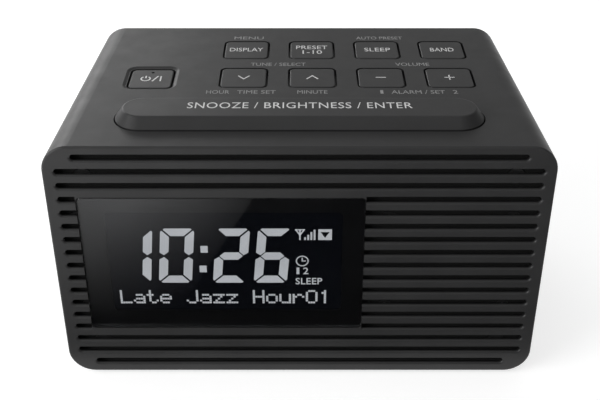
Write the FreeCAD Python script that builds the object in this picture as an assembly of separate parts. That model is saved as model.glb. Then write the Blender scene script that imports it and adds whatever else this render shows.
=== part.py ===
import FreeCAD, Part
import math
import os

# Bedside clock radio with a slotted front, a display window and keys on top.
# All sizes are millimetres. The origin is the middle of the footprint, at the
# level that the feet stand on. +X is to the right of someone facing the radio,
# the front faces -Y and +Z is up.

# ---- driving sizes: cabinet ----
front_width = 191.0       # across the front face
body_height = 107.0       # cabinet without feet and snooze bar
body_depth = 112.0        # front face to rear rim
side_taper = 3.2          # each side leans in towards the back, degrees
corner_radius = 10.5      # of the cabinet's outline, seen from the front
wall = 2.4                # cabinet walls
edge_round = 0.8          # front and rear outer edges
foot_drop = 1.6           # feet reach this far below the cabinet
fit_gap = 0.2             # between pieces that slot together
seat_gap = 0.1            # between pieces that lie on each other

# ---- driving sizes: front panel ----
panel_thickness = 3.0
panel_lip_depth = 3.5     # rim that plugs into the cabinet
panel_lip_wall = 1.4
slot_pitch = 6.05
slot_height = 2.75        # narrowest opening
slot_first_drop = 3.13    # cabinet top to the first slot
slot_lip = 0.95           # rounding of the lower edge and ends
slot_relief = 1.0         # how far a bar falls away behind its rounding
slot_half_length = 91.0
outer_slot_half_length = 84.4   # first and last slot, between the round corners
window_first_slot = 3
slots_below_window = 3
window_left = -84.4
window_right = 25.1
window_corner = 2.0
window_thickness = 1.8
window_sink = 0.15        # its face lies this far behind the panel's face
window_drop = 0.5         # its upper edge lies this far below a slot's upper edge
window_lift = 0.3         # its lower edge lies this far above a slot's lower edge
window_ledge = 1.0        # thickness of the ledge behind it
upper_post_slot = 5       # posts stand on the bars just above these slots
upper_case_slot = 2

# ---- driving sizes: display ----
lcd_left = -78.0
lcd_right = 20.0
lcd_above = 4.6           # its glass starts this far above the window's lower edge
lcd_below = 4.0           # and ends this far below the upper one
lcd_glass = 1.1           # each of its two sheets
lcd_contact_strip = 2.6   # the rear sheet stops this far short of the top
lcd_margin = 3.4          # dead border round the part that shows
holder_border = 3.3       # display holder outside the glass
holder_depth = 8.4
guide_thickness = 3.0
board_thickness = 1.6
display_board_left = -88.0
display_board_right = 28.5
display_board_drop = 2.9  # below the key board
display_post_x = (-85.2, 26.0)
post_radius = 2.4

# ---- driving sizes: loudspeaker ----
speaker_x = 58.0
speaker_radius = 28.5
speaker_post_gap = 0.9    # between its rim and the posts round it
cloth_thickness = 0.6
surround_skin = 0.35

# ---- driving sizes: keys ----
key_column_first = -23.0
key_column_pitch = 28.25
key_row_back = 30.8
key_row_front = 2.7
key_width = 20.1          # of the opening
key_depth = 19.3
key_corner = 3.0
key_gap = 0.8             # round each key
key_proud = 0.05
key_edge = 0.5
key_flange_over = 1.0
key_flange = 1.2
key_stem_radius = 2.2
power_x = -61.1
power_y = 2.85
power_width = 18.9
power_depth = 19.0
power_recess = 0.6
power_slope = 1.5
power_rim = 0.3            # flat rim round the opening at the bottom of its pocket
power_lamp_y = 5.85       # small lamp hole, from the middle of the key
power_lamp_radius = 0.7
snooze_gap = 0.5          # round the bar
snooze_edge = 0.8         # rounding of its upper edge
snooze_half_length = 71.1
snooze_half_depth = 11.2
snooze_y = -32.8
snooze_rise = 4.3
snooze_top_half_length = 67.6
snooze_top_half_depth = 7.7
snooze_top_shift = 0.7    # the top lies this far behind the base
snooze_step = 0.4         # upright band between the cabinet and the slope

# ---- driving sizes: key board and switches ----
key_board_drop = 13.2     # under the cabinet's roof
key_board_half_length = 76.0
key_board_front = -42.0
key_board_back = 44.0
key_board_posts = ((-8.9, 16.75), (47.6, 16.75), (-42.0, 33.0), (-42.0, -14.0), (47.6, -14.0))
switch_side = 6.0
switch_height = 3.5
plunger_radius = 1.7
plunger_length = 3.0
plunger_proud = 1.2
plunger_clearance = 0.08
spring_x = 50.0
spring_radius = 3.4
spring_wire = 0.5
spring_turns = 5
spring_post_radius = 2.2
spring_post_length = 4.0

# ---- driving sizes: inside ----
main_board_left = -78.0
main_board_right = 20.0
main_board_front = -36.0
main_board_back = 36.0
main_board_lift = 12.0    # above the floor
main_board_inset = 5.0    # posts from its corners
core_width = 42.0
core_height = 35.0
core_stack = 22.0
core_x = 52.0
core_y = 14.0
core_lift = 4.3
core_leg = 14.0
core_yoke = 7.0
core_ear = 6.0
core_ear_depth = 12.0
core_ear_thickness = 1.2

# ---- driving sizes: rear ----
rear_thickness = 2.0
rear_recess = 1.0         # the rear cover lies this far inside the rim
vent_count = 9
vent_pitch = 5.0
vent_length = 96.0
vent_height = 1.8
vent_drop = 10.6          # cabinet top to the highest vent
inlet_x = 58.0
inlet_z = 26.0
inlet_pin_spacing = 8.6
inlet_pin_radius = 1.2
inlet_tail_radius = 1.0   # of each pin where it passes through the housing
inlet_socket_radius = 4.1
inlet_socket_depth = 10.5
inlet_pin_reach = 8.5
inlet_body_depth = 14.0
inlet_body_width = 21.0
inlet_body_height = 12.5
inlet_flange = 2.5
inlet_flange_thickness = 1.6
aerial_x = -60.0
aerial_z = 32.0
aerial_radius = 4.7
aerial_bore = 2.6
aerial_length = 9.0
aerial_pocket = 24.0
aerial_pocket_depth = 10.0
pocket_wall = 1.5
cell_radius = 10.0
cell_height = 3.2
tray_x = -10.0
tray_z = 8.6
tray_width = 24.4
tray_length = 26.0
tray_height = 4.6
tray_floor = 0.9
tray_face_width = 28.0
tray_face_height = 7.0
tray_face_thickness = 1.6

# ---- driving sizes: base ----
base_half_width = 82.0
base_front = -42.2
base_back = 44.2
base_corner = 4.0
base_ledge = 3.8
foot_x = 66.0
foot_front = -34.0
foot_back = 36.0
foot_radius = 7.0
foot_sink = 0.8
base_screw_x = 74.0
base_screw_front = -21.0
base_screw_back = 23.0
ear_height = 4.0
ear_half = 4.2

# ---- driving sizes: screws ----
screw_radius = 1.2
screw_hole_gap = 0.06
screw_pass_gap = 0.35
head_radius = 2.6
head_height = 1.5
boss_radius = 3.3
case_screw_x = 81.0
rear_screw_x = 79.5
lug_thickness = 3.0
front_boss_depth = 13.0
rear_boss_depth = 16.0

# ---- worked out from the driving sizes ----
front_y = -body_depth / 2
rear_y = body_depth / 2
panel_y = front_y + panel_thickness
body_bottom = foot_drop
body_top = foot_drop + body_height
roof_z = body_top - wall
floor_z = body_bottom + wall
taper_slope = math.tan(math.radians(side_taper))
slot_count = int((body_height - 2 * slot_first_drop) / slot_pitch) + 1
window_last_slot = slot_count - 1 - slots_below_window
lower_post_slot = window_last_slot - 1
lower_case_slot = slot_count - 2
window_top = body_top - slot_first_drop - window_first_slot * slot_pitch - window_drop
window_bottom = (body_top - slot_first_drop - window_last_slot * slot_pitch
                 - slot_height + window_lift)
lcd_bottom = window_bottom + lcd_above
lcd_top = window_top - lcd_below
flange_top = roof_z - seat_gap
key_board_top = roof_z - key_board_drop
display_board_top = key_board_top - board_thickness - display_board_drop
main_board_z = floor_z + main_board_lift
core_z = floor_z + core_lift


def bar_middle(slot):
    """Height of the middle of the bar above one slot, where the bar is narrowest."""
    bar = slot_pitch - slot_height - slot_relief
    return body_top - slot_first_drop - slot * slot_pitch + bar / 2


post_heights = (bar_middle(lower_post_slot), bar_middle(upper_post_slot))
case_screw_heights = (bar_middle(lower_case_slot), bar_middle(upper_case_slot))
speaker_z = sum(post_heights) / 2
speaker_post_reach = speaker_radius + speaker_post_gap + post_radius
speaker_post_rise = post_heights[1] - speaker_z
speaker_post_step = math.sqrt(speaker_post_reach ** 2 - speaker_post_rise ** 2)
plunger_top = key_board_top + switch_height + plunger_proud
rear_face_y = rear_y - rear_recess
rear_inner_y = rear_face_y - rear_thickness

V = FreeCAD.Vector
ACROSS = V(1, 0, 0)
BACK = V(0, 1, 0)
UP = V(0, 0, 1)

os.makedirs("parts", exist_ok=True)


# ---- helpers ----
def save(name, shape):
    shape.exportStep("parts/" + name + ".step")


def box(x0, x1, y0, y1, z0, z1):
    return Part.makeBox(x1 - x0, y1 - y0, z1 - z0, V(x0, y0, z0))


def join(pieces):
    return pieces[0].multiFuse(pieces[1:]).removeSplitter() if len(pieces) > 1 else pieces[0]


def upright(x, y, z0, z1, radius):
    return Part.makeCylinder(radius, z1 - z0, V(x, y, z0), UP)


def lengthwise(x, z, y0, y1, radius):
    return Part.makeCylinder(radius, y1 - y0, V(x, y0, z), BACK)


def half_width(y):
    return front_width / 2 - (y - front_y) * taper_slope


def rounded_outline(corners, radius, lift):
    """Closed wire round four corners (a, b), low to high, with round corners."""
    (a0, b0), (a1, b1) = corners
    diagonal = radius * (1 - math.sqrt(0.5))
    edges = [
        Part.LineSegment(lift(a0 + radius, b0), lift(a1 - radius, b0)),
        Part.Arc(lift(a1 - radius, b0), lift(a1 - diagonal, b0 + diagonal), lift(a1, b0 + radius)),
        Part.LineSegment(lift(a1, b0 + radius), lift(a1, b1 - radius)),
        Part.Arc(lift(a1, b1 - radius), lift(a1 - diagonal, b1 - diagonal), lift(a1 - radius, b1)),
        Part.LineSegment(lift(a1 - radius, b1), lift(a0 + radius, b1)),
        Part.Arc(lift(a0 + radius, b1), lift(a0 + diagonal, b1 - diagonal), lift(a0, b1 - radius)),
        Part.LineSegment(lift(a0, b1 - radius), lift(a0, b0 + radius)),
        Part.Arc(lift(a0, b0 + radius), lift(a0 + diagonal, b0 + diagonal), lift(a0 + radius, b0)),
    ]
    return Part.Wire([edge.toShape() for edge in edges])


def front_outline(y, inset):
    """The cabinet's outline at one depth, moved in by inset."""
    half = half_width(y) - inset / math.cos(math.radians(side_taper))
    corners = ((-half, body_bottom + inset), (half, body_top - inset))
    return rounded_outline(corners, corner_radius - inset, lambda a, b: V(a, y, b))


def cabinet_block(y0, y1, inset):
    """Solid of the cabinet's shape between two depths."""
    return Part.makeLoft([front_outline(y0, inset), front_outline(y1, inset)], True, True)


def edges_at_depth(shape, y):
    """Edges that lie wholly at one depth."""
    return [
        edge for edge in shape.Edges
        if abs(edge.BoundBox.YMin - y) < 0.001 and abs(edge.BoundBox.YMax - y) < 0.001
    ]


def edges_at_height(shape, z):
    """Edges that lie wholly at one height."""
    return [
        edge for edge in shape.Edges
        if abs(edge.BoundBox.ZMin - z) < 0.001 and abs(edge.BoundBox.ZMax - z) < 0.001
    ]


def slab(x, y, width, depth, radius, z0, z1):
    """Upright block with a rounded plan."""
    corners = ((x - width / 2, y - depth / 2), (x + width / 2, y + depth / 2))
    outline = rounded_outline(corners, radius, lambda a, b: V(a, b, z0))
    return Part.Face(outline).extrude(V(0, 0, z1 - z0))


def plate(x0, x1, z0, z1, radius, y0, y1):
    """Block with a rounded outline in the front view."""
    outline = rounded_outline(((x0, z0), (x1, z1)), radius, lambda a, b: V(a, y0, b))
    return Part.Face(outline).extrude(V(0, y1 - y0, 0))


def stadium(half_length, half_depth, y, z):
    """Closed wire with two straight sides and two half-round ends."""
    straight = half_length - half_depth
    edges = [
        Part.LineSegment(V(-straight, y - half_depth, z), V(straight, y - half_depth, z)),
        Part.Arc(V(straight, y - half_depth, z), V(half_length, y, z), V(straight, y + half_depth, z)),
        Part.LineSegment(V(straight, y + half_depth, z), V(-straight, y + half_depth, z)),
        Part.Arc(V(-straight, y + half_depth, z), V(-half_length, y, z), V(-straight, y - half_depth, z)),
    ]
    return Part.Wire([edge.toShape() for edge in edges])


def stadium_block(half_length, half_depth, y, z0, z1):
    return Part.Face(stadium(half_length, half_depth, y, z0)).extrude(V(0, 0, z1 - z0))


def turned(profile, x, z):
    """Ring from points (radius, y), turned about a front-to-back axis."""
    points = [V(x + radius, y, z) for radius, y in profile]
    face = Part.Face(Part.makePolygon(points + points[:1]))
    return face.revolve(V(x, 0, z), BACK, 360)


def tube(x, z, y0, y1, outer, inner):
    return lengthwise(x, z, y0, y1, outer).cut(lengthwise(x, z, y0, y1, inner))


def rounded_path(points, radius):
    """Wire of straight runs joined by tangent arcs."""
    edges = []
    start = points[0]
    for here, after in zip(points[1:-1], points[2:]):
        back = (start - here).normalize()
        ahead = V(after - here).normalize()
        turn = math.pi - back.getAngle(ahead)
        setback = radius * math.tan(turn / 2)
        arc_in = here + back * setback
        arc_out = here + ahead * setback
        middle = (back + ahead).normalize()
        apex = here + middle * (radius / math.cos(turn / 2) - radius)
        edges.append(Part.LineSegment(start, arc_in).toShape())
        edges.append(Part.Arc(arc_in, apex, arc_out).toShape())
        start = arc_out
    edges.append(Part.LineSegment(start, points[-1]).toShape())
    return Part.Wire(edges)


def screw(tip, along, length, radius=screw_radius):
    """Pan-head screw: its tip, the way it points, and its length under the head."""
    shank = Part.makeCylinder(radius, length, tip, along * -1)
    seat = tip - along * length
    head = Part.makeCylinder(head_radius, head_height, seat, along * -1)
    head = head.makeFillet(head_height * 0.4, [head.Edges[0]])
    top = seat - along * head_height
    blade = head_radius * 0.6
    cross = []
    for side in (ACROSS, BACK, UP):
        if abs(side.dot(along)) < 0.5:
            arm = Part.makeBox(blade * 2, 0.5, head_height, V(-blade, -0.25, -head_height * 0.6))
            arm.Placement = FreeCAD.Placement(top, FreeCAD.Rotation(side, V(0, 0, 0), along * -1, "ZXY"))
            cross.append(arm)
    return join([shank, head]).cut(cross)


def screw_hole(tip, along, length):
    """Pilot hole for a screw of that length."""
    start = tip + along * 0.6
    return Part.makeCylinder(screw_radius + screw_hole_gap, length + 0.6, start, along * -1)


def pass_hole(tip, along, length):
    """Wider hole, for a screw that passes through."""
    return Part.makeCylinder(screw_radius + screw_pass_gap, length, tip, along * -1)


# ---- places shared by several pieces ----
case_screw_spots = [
    (side * case_screw_x, height)
    for side in (-1, 1)
    for height in case_screw_heights
]
rear_screw_spots = [
    (side * rear_screw_x, height)
    for side in (-1, 1)
    for height in case_screw_heights
]
base_screw_spots = [
    (side * base_screw_x, y)
    for side in (-1, 1)
    for y in (base_screw_front, base_screw_back)
]
foot_spots = [(side * foot_x, y) for side in (-1, 1) for y in (foot_front, foot_back)]
speaker_post_spots = [
    (speaker_x + side * speaker_post_step, height) for side in (-1, 1) for height in post_heights
]
display_post_spots = [(x, height) for x in display_post_x for height in post_heights]
main_board_spots = [
    (x, y)
    for x in (main_board_left + main_board_inset, main_board_right - main_board_inset)
    for y in (main_board_front + main_board_inset, main_board_back - main_board_inset)
]
core_screw_spots = [
    (core_x + side * (core_width / 2 + core_ear / 2), core_y) for side in (-1, 1)
]
front_lug_y = panel_y + front_boss_depth
case_screw_tip = panel_y + 2.0
rear_screw_tip = rear_inner_y - rear_boss_depth + 3.0
display_board_y = panel_y + seat_gap + holder_depth + seat_gap
speaker_front = panel_y + seat_gap + cloth_thickness + seat_gap

columns = [key_column_first + i * key_column_pitch for i in range(4)]
small_keys = {
    "display_button": (columns[0], key_row_back),
    "preset_button": (columns[1], key_row_back),
    "sleep_button": (columns[2], key_row_back),
    "band_button": (columns[3], key_row_back),
    "down_button": (columns[0], key_row_front),
    "up_button": (columns[1], key_row_front),
    "volume_down_button": (columns[2], key_row_front),
    "volume_up_button": (columns[3], key_row_front),
}
switch_spots = dict(small_keys)
switch_spots["power_button"] = (power_x, power_y)
switch_spots["snooze_bar"] = (0.0, snooze_y)


# ---- cabinet ----
def slot_cutter(x0, x1, z_top, round_left, round_right):
    """Cutter for one slot: a straight throat, a lip rounded below and at the ends, a relieved back."""
    quarter_turn = 90
    radius = slot_height / 2
    inner0 = x0 + radius if round_left else x0
    inner1 = x1 - radius if round_right else x1
    y0 = front_y - 1
    middle = z_top - radius
    cutters = [box(inner0, inner1, y0, panel_y, z_top - slot_height, z_top)]
    if round_left:
        cutters.append(lengthwise(inner0, middle, y0, panel_y, radius))
    if round_right:
        cutters.append(lengthwise(inner1, middle, y0, panel_y, radius))
    low = z_top - slot_height
    bend = slot_lip * (1 - math.sqrt(0.5))
    outline = [
        Part.LineSegment(V(inner0, y0, middle), V(inner0, y0, low - slot_lip)),
        Part.LineSegment(V(inner0, y0, low - slot_lip), V(inner0, front_y, low - slot_lip)),
        Part.Arc(
            V(inner0, front_y, low - slot_lip),
            V(inner0, front_y + bend, low - bend),
            V(inner0, front_y + slot_lip, low),
        ),
        Part.LineSegment(V(inner0, front_y + slot_lip, low), V(inner0, panel_y, low - slot_relief)),
        Part.LineSegment(V(inner0, panel_y, low - slot_relief), V(inner0, panel_y, middle)),
        Part.LineSegment(V(inner0, panel_y, middle), V(inner0, y0, middle)),
    ]
    face = Part.Face(Part.Wire([edge.toShape() for edge in outline]))
    cutters.append(face.extrude(V(inner1 - inner0, 0, 0)))
    if round_left:
        cutters.append(face.revolve(V(inner0, 0, middle), BACK, quarter_turn))
    if round_right:
        far_face = face.translated(V(inner1 - inner0, 0, 0))
        cutters.append(far_face.revolve(V(inner1, 0, middle), BACK, -quarter_turn))
    return join(cutters)


def make_front_panel():
    panel = cabinet_block(front_y, panel_y, 0)
    panel = panel.makeFillet(edge_round, edges_at_depth(panel, front_y))
    lip_back = panel_y + panel_lip_depth
    lip_inset = wall + fit_gap
    lip = cabinet_block(panel_y, lip_back, lip_inset)
    lip = lip.cut(cabinet_block(panel_y, lip_back, lip_inset + panel_lip_wall))
    adds = [panel, lip]
    for x, z in case_screw_spots:
        adds.append(lengthwise(x, z, panel_y, front_lug_y - seat_gap, boss_radius))
    for x, z in display_post_spots:
        adds.append(lengthwise(x, z, panel_y, display_board_y - seat_gap, post_radius))
    for x, z in speaker_post_spots:
        adds.append(lengthwise(x, z, panel_y, speaker_front + 1.2, post_radius))
    panel = join(adds)

    cutters = []
    for row in range(slot_count):
        z_top = body_top - slot_first_drop - row * slot_pitch
        end = outer_slot_half_length if row in (0, slot_count - 1) else slot_half_length
        if window_first_slot <= row <= window_last_slot:
            cutters.append(slot_cutter(-end, window_left, z_top, True, False))
            cutters.append(slot_cutter(window_right, end, z_top, False, True))
        else:
            cutters.append(slot_cutter(-end, end, z_top, True, True))
    cutters.append(
        plate(window_left, window_right, window_bottom, window_top, window_corner,
              front_y - 1, panel_y - window_ledge)
    )
    cutters.append(
        plate(lcd_left + lcd_margin, lcd_right - lcd_margin, lcd_bottom + lcd_margin,
              lcd_top - lcd_margin, window_corner, front_y, panel_y + 1)
    )
    for x, z in case_screw_spots:
        cutters.append(screw_hole(V(x, case_screw_tip, z), BACK * -1, front_boss_depth))
    for x, z in display_post_spots:
        cutters.append(screw_hole(V(x, panel_y + 2, z), BACK * -1, holder_depth))
    for x, z in speaker_post_spots:
        cutters.append(screw_hole(V(x, front_y + 1.5, z), BACK * -1, panel_thickness + 2))
    return panel.cut(cutters)


def make_power_recess():
    """Sloped pocket round the power key, wider at the cabinet's top."""
    def outline(grow, z):
        half_w = power_width / 2 + grow
        half_d = power_depth / 2 + grow
        corners = ((power_x - half_w, power_y - half_d), (power_x + half_w, power_y + half_d))
        return rounded_outline(corners, key_corner + grow, lambda a, b: V(a, b, z))
    slope = power_slope - power_rim
    top_grow = power_slope + slope / power_recess * 0.5
    return Part.makeLoft(
        [outline(power_rim, body_top - power_recess), outline(top_grow, body_top + 0.5)], True, True
    )


def make_cabinet_shell():
    shell = cabinet_block(panel_y, rear_y, 0)
    shell = shell.makeFillet(edge_round, edges_at_depth(shell, rear_y))
    shell = shell.cut(cabinet_block(panel_y - 1, rear_y + 1, wall))

    adds = [shell]
    pad_half_w = power_width / 2 + 4
    pad_half_d = power_depth / 2 + 4
    adds.append(
        slab(power_x, power_y, pad_half_w * 2, pad_half_d * 2, key_corner,
             roof_z - power_recess, roof_z + 0.5)
    )
    for x, y in key_board_posts:
        adds.append(upright(x, y, key_board_top + seat_gap, roof_z + 0.5, post_radius))
    for x, z in case_screw_spots:
        side = math.copysign(1, x)
        wall_x = side * (half_width(front_lug_y + lug_thickness) - wall / 2)
        low, high = min(x - side * ear_half, wall_x), max(x - side * ear_half, wall_x)
        adds.append(box(low, high, front_lug_y, front_lug_y + lug_thickness,
                        z - ear_half, z + ear_half))
    for x, z in rear_screw_spots:
        side = math.copysign(1, x)
        boss_front = rear_inner_y - rear_boss_depth
        adds.append(lengthwise(x, z, boss_front, rear_inner_y - seat_gap, boss_radius))
        wall_x = side * (half_width(rear_inner_y) - wall / 2)
        low, high = min(x, wall_x), max(x, wall_x)
        adds.append(box(low, high, boss_front, rear_inner_y - seat_gap, z - 1.2, z + 1.2))
    shell = join(adds)

    cutters = [make_power_recess()]
    for x, y in small_keys.values():
        cutters.append(slab(x, y, key_width, key_depth, key_corner, roof_z - 1, body_top + 1))
    cutters.append(
        slab(power_x, power_y, power_width, power_depth, key_corner,
             roof_z - power_recess - 1, body_top + 1)
    )
    cutters.append(
        stadium_block(snooze_half_length, snooze_half_depth, snooze_y, roof_z - 1, body_top + 1)
    )
    base_y = (base_front + base_back) / 2
    base_depth = base_back - base_front
    cutters.append(
        slab(0, base_y, base_half_width * 2, base_depth, base_corner,
             body_bottom - 1, body_bottom + wall / 2)
    )
    cutters.append(
        slab(0, base_y, (base_half_width - base_ledge) * 2, base_depth - base_ledge * 2,
             base_corner, body_bottom, floor_z + 0.01)
    )
    for x, y in key_board_posts:
        cutters.append(screw_hole(V(x, y, key_board_top + 7), UP, 8))
    for x, z in case_screw_spots:
        cutters.append(pass_hole(V(x, front_lug_y - 1, z), BACK * -1, lug_thickness + 2))
    for x, z in rear_screw_spots:
        cutters.append(screw_hole(V(x, rear_screw_tip, z), BACK * -1, rear_boss_depth))
    shell = shell.cut(cutters)

    ears = []
    for x, y in base_screw_spots:
        side = math.copysign(1, x)
        wall_x = side * (half_width(y + ear_half) - corner_radius + wall)
        tip_x = x - side * ear_half
        root_x = side * (base_half_width - base_ledge + fit_gap)
        over = box(min(tip_x, wall_x), max(tip_x, wall_x), y - ear_half, y + ear_half,
                   floor_z + seat_gap, floor_z + ear_height)
        root = box(min(root_x, wall_x), max(root_x, wall_x), y - ear_half, y + ear_half,
                   floor_z - 0.5, floor_z + ear_height)
        ears.append(join([over, root]).cut(
            screw_hole(V(x, y, floor_z + ear_height - 1), UP, ear_height + 2)))
    return join([shell] + ears)


def make_base_cover():
    base_y = (base_front + base_back) / 2
    base_depth = base_back - base_front
    outer = slab(0, base_y, (base_half_width - fit_gap) * 2, base_depth - fit_gap * 2,
                 base_corner, body_bottom, body_bottom + wall / 2 - 0.05)
    plug_in = base_ledge + fit_gap
    plug = slab(0, base_y, (base_half_width - plug_in) * 2, base_depth - plug_in * 2,
                base_corner, body_bottom, floor_z)
    adds = [outer, plug]
    for x, y in main_board_spots:
        adds.append(upright(x, y, floor_z, main_board_z - seat_gap, boss_radius))
    for x, y in core_screw_spots:
        adds.append(upright(x, y, floor_z, core_z - seat_gap, boss_radius))
    cover = join(adds)
    cutters = []
    for x, y in foot_spots:
        cutters.append(upright(x, y, body_bottom - 1, body_bottom + foot_sink, foot_radius + seat_gap))
    for x, y in base_screw_spots:
        cutters.append(pass_hole(V(x, y, floor_z + 1), UP, wall + 2))
        cutters.append(upright(x, y, body_bottom - 1, body_bottom + head_height * 0.8,
                               head_radius + fit_gap))
    for x, y in main_board_spots:
        cutters.append(screw_hole(V(x, y, main_board_z - 8), UP * -1, 9))
    for x, y in core_screw_spots:
        cutters.append(screw_hole(V(x, y, floor_z + 0.8), UP * -1, core_z))
    for i in range(vent_count):
        y = base_y + (i - (vent_count - 1) / 2) * vent_pitch
        cutters.append(slab(0, y, vent_length * 0.6, vent_height, vent_height * 0.45,
                            body_bottom - 1, floor_z + 1))
    return cover.cut(cutters)


def inlet_socket(y0, y1, grow):
    """Figure-of-eight space that the mains plug goes into."""
    half = inlet_pin_spacing / 2
    radius = inlet_socket_radius + grow
    return join([
        lengthwise(inlet_x - half, inlet_z, y0, y1, radius),
        lengthwise(inlet_x + half, inlet_z, y0, y1, radius),
        box(inlet_x - half, inlet_x + half, y0, y1,
            inlet_z - radius * 0.94, inlet_z + radius * 0.94),
    ])


def make_rear_cover():
    inset = wall + fit_gap
    cover = cabinet_block(rear_inner_y, rear_face_y, inset)
    adds = [cover]
    half = aerial_pocket / 2
    pocket_y = rear_face_y - aerial_pocket_depth
    adds.append(
        plate(aerial_x - half - pocket_wall, aerial_x + half + pocket_wall,
              aerial_z - half - pocket_wall, aerial_z + half + pocket_wall,
              window_corner + pocket_wall, pocket_y - pocket_wall, rear_face_y)
    )
    tray_half = tray_width / 2 + fit_gap
    sleeve_y = rear_face_y - tray_length - 2
    adds.append(
        box(tray_x - tray_half - pocket_wall, tray_x + tray_half + pocket_wall, sleeve_y,
            rear_face_y, tray_z - fit_gap - pocket_wall, tray_z + tray_height + fit_gap + pocket_wall)
    )
    cover = join(adds)

    cutters = [
        plate(aerial_x - half, aerial_x + half, aerial_z - half, aerial_z + half,
              window_corner, pocket_y, rear_face_y + 1),
        lengthwise(aerial_x, aerial_z, pocket_y - pocket_wall - 1, pocket_y + 1,
                   aerial_radius + screw_hole_gap),
        box(tray_x - tray_half, tray_x + tray_half, sleeve_y + pocket_wall, rear_face_y + 1,
            tray_z - fit_gap, tray_z + tray_height + fit_gap),
        box(tray_x - tray_face_width / 2 - fit_gap, tray_x + tray_face_width / 2 + fit_gap,
            rear_face_y - tray_face_thickness - fit_gap, rear_face_y + 1,
            tray_z + tray_height / 2 - tray_face_height / 2 - fit_gap,
            tray_z + tray_height / 2 + tray_face_height / 2 + fit_gap),
        plate(inlet_x - inlet_body_width / 2 - fit_gap, inlet_x + inlet_body_width / 2 + fit_gap,
              inlet_z - inlet_body_height / 2 - fit_gap, inlet_z + inlet_body_height / 2 + fit_gap,
              window_corner, rear_inner_y - 1, rear_face_y + 1),
    ]
    for i in range(vent_count):
        z = body_top - vent_drop - i * vent_pitch
        cutters.append(plate(-vent_length / 2, vent_length / 2, z, z + vent_height,
                             vent_height * 0.45, rear_inner_y - 1, rear_face_y + 1))
    for x, z in rear_screw_spots:
        cutters.append(pass_hole(V(x, rear_inner_y - 1, z), BACK * -1, rear_thickness + 2))
        cutters.append(lengthwise(x, z, rear_face_y - head_height * 0.6, rear_face_y + 1,
                                  head_radius + fit_gap))
    return cover.cut(cutters)


def make_feet():
    feet = []
    for x, y in foot_spots:
        foot = upright(x, y, 0, body_bottom + foot_sink - seat_gap, foot_radius)
        feet.append(foot.makeFillet(0.5, edges_at_height(foot, 0)))
    return Part.makeCompound(feet)


save("front_panel", make_front_panel())
save("cabinet_shell", make_cabinet_shell())
save("base_cover", make_base_cover())
save("rear_cover", make_rear_cover())
save("rubber_feet", make_feet())


# ---- display ----
def make_display_window():
    window = plate(window_left + fit_gap, window_right - fit_gap, window_bottom + fit_gap,
                   window_top - fit_gap, window_corner - fit_gap, front_y + window_sink,
                   front_y + window_sink + window_thickness)
    rim = edges_at_depth(window, front_y + window_sink)
    return window.makeChamfer(0.35, rim)


lcd_front = panel_y + seat_gap
lcd_middle = lcd_front + lcd_glass
lcd_back = lcd_middle + lcd_glass
holder_back = lcd_front + holder_depth


def make_lcd():
    front = box(lcd_left, lcd_right, lcd_front, lcd_middle, lcd_bottom, lcd_top)
    rear = box(lcd_left, lcd_right, lcd_middle, lcd_back, lcd_bottom, lcd_top - lcd_contact_strip)
    return join([front, rear])


def make_display_holder():
    left = lcd_left - holder_border
    right = lcd_right + holder_border
    holder = box(left, right, lcd_front, holder_back, lcd_bottom - holder_border,
                 lcd_top + holder_border)
    pocket = box(lcd_left - fit_gap, lcd_right + fit_gap, lcd_front - 1, lcd_back + seat_gap,
                 lcd_bottom - fit_gap, lcd_top + fit_gap)
    light = box(lcd_left + lcd_margin, lcd_right - lcd_margin, lcd_front, holder_back + 1,
                lcd_bottom + lcd_margin, lcd_top - lcd_margin)
    strip = box(lcd_left + lcd_margin, lcd_right - lcd_margin, lcd_front, holder_back + 1,
                lcd_top - lcd_contact_strip, lcd_top - fit_gap)
    return holder.cut([pocket, light, strip])


def make_light_guide():
    grip = lcd_margin + fit_gap
    y0 = lcd_back + 2 * seat_gap
    return box(lcd_left + grip, lcd_right - grip, y0, y0 + guide_thickness,
               lcd_bottom + grip, lcd_top - grip)


def make_display_board():
    board = box(display_board_left, display_board_right, display_board_y,
                display_board_y + board_thickness, lcd_bottom - holder_border, display_board_top)
    holes = [
        pass_hole(V(x, display_board_y - 1, z), BACK * -1, board_thickness + 2)
        for x, z in display_post_spots
    ]
    lamps = []
    lamp_step = (lcd_right - lcd_left) / 6
    for i in range(5):
        x = lcd_left + (i + 1) * lamp_step
        z = (lcd_bottom + lcd_top) / 2
        lamps.append(box(x - 1.5, x + 1.5, display_board_y - 1.2, display_board_y, z - 1.5, z + 1.5))
    return join([board] + lamps).cut(holes)


def make_zebra_strip():
    edge = lcd_margin + fit_gap
    return box(lcd_left + edge, lcd_right - edge, lcd_middle + seat_gap / 2, display_board_y - 0.05,
               lcd_top - lcd_contact_strip + fit_gap, lcd_top - 2 * fit_gap)


save("display_window", make_display_window())
save("lcd_panel", make_lcd())
save("display_holder", make_display_holder())
save("light_guide", make_light_guide())
save("display_board", make_display_board())
save("zebra_strip", make_zebra_strip())


# ---- loudspeaker, turned about its own axis ----
flange_thickness = 1.2
speaker_seat = speaker_front + 1.6       # the surround's outer edge is glued here
basket_rear = speaker_front + 14.8
basket_neck = speaker_radius - 11.9
basket_wall = 1.0
surround_outer = speaker_radius - 2.6
surround_inner = surround_outer - 4.4
surround_front = speaker_seat - surround_skin - 0.05
cone_front = speaker_seat - 0.2
cone_neck = 7.35
cone_rear = cone_front + 7.0
paper = 0.5
coil_inner = 7.0
coil_former = 0.3
coil_winding = 0.5
pole_radius = 6.5
gap_radius = 8.3
magnet_radius = basket_neck
magnet_inner = 9.5
top_plate_thickness = 3.0
magnet_length = 6.0
yoke_thickness = 3.0


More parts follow.
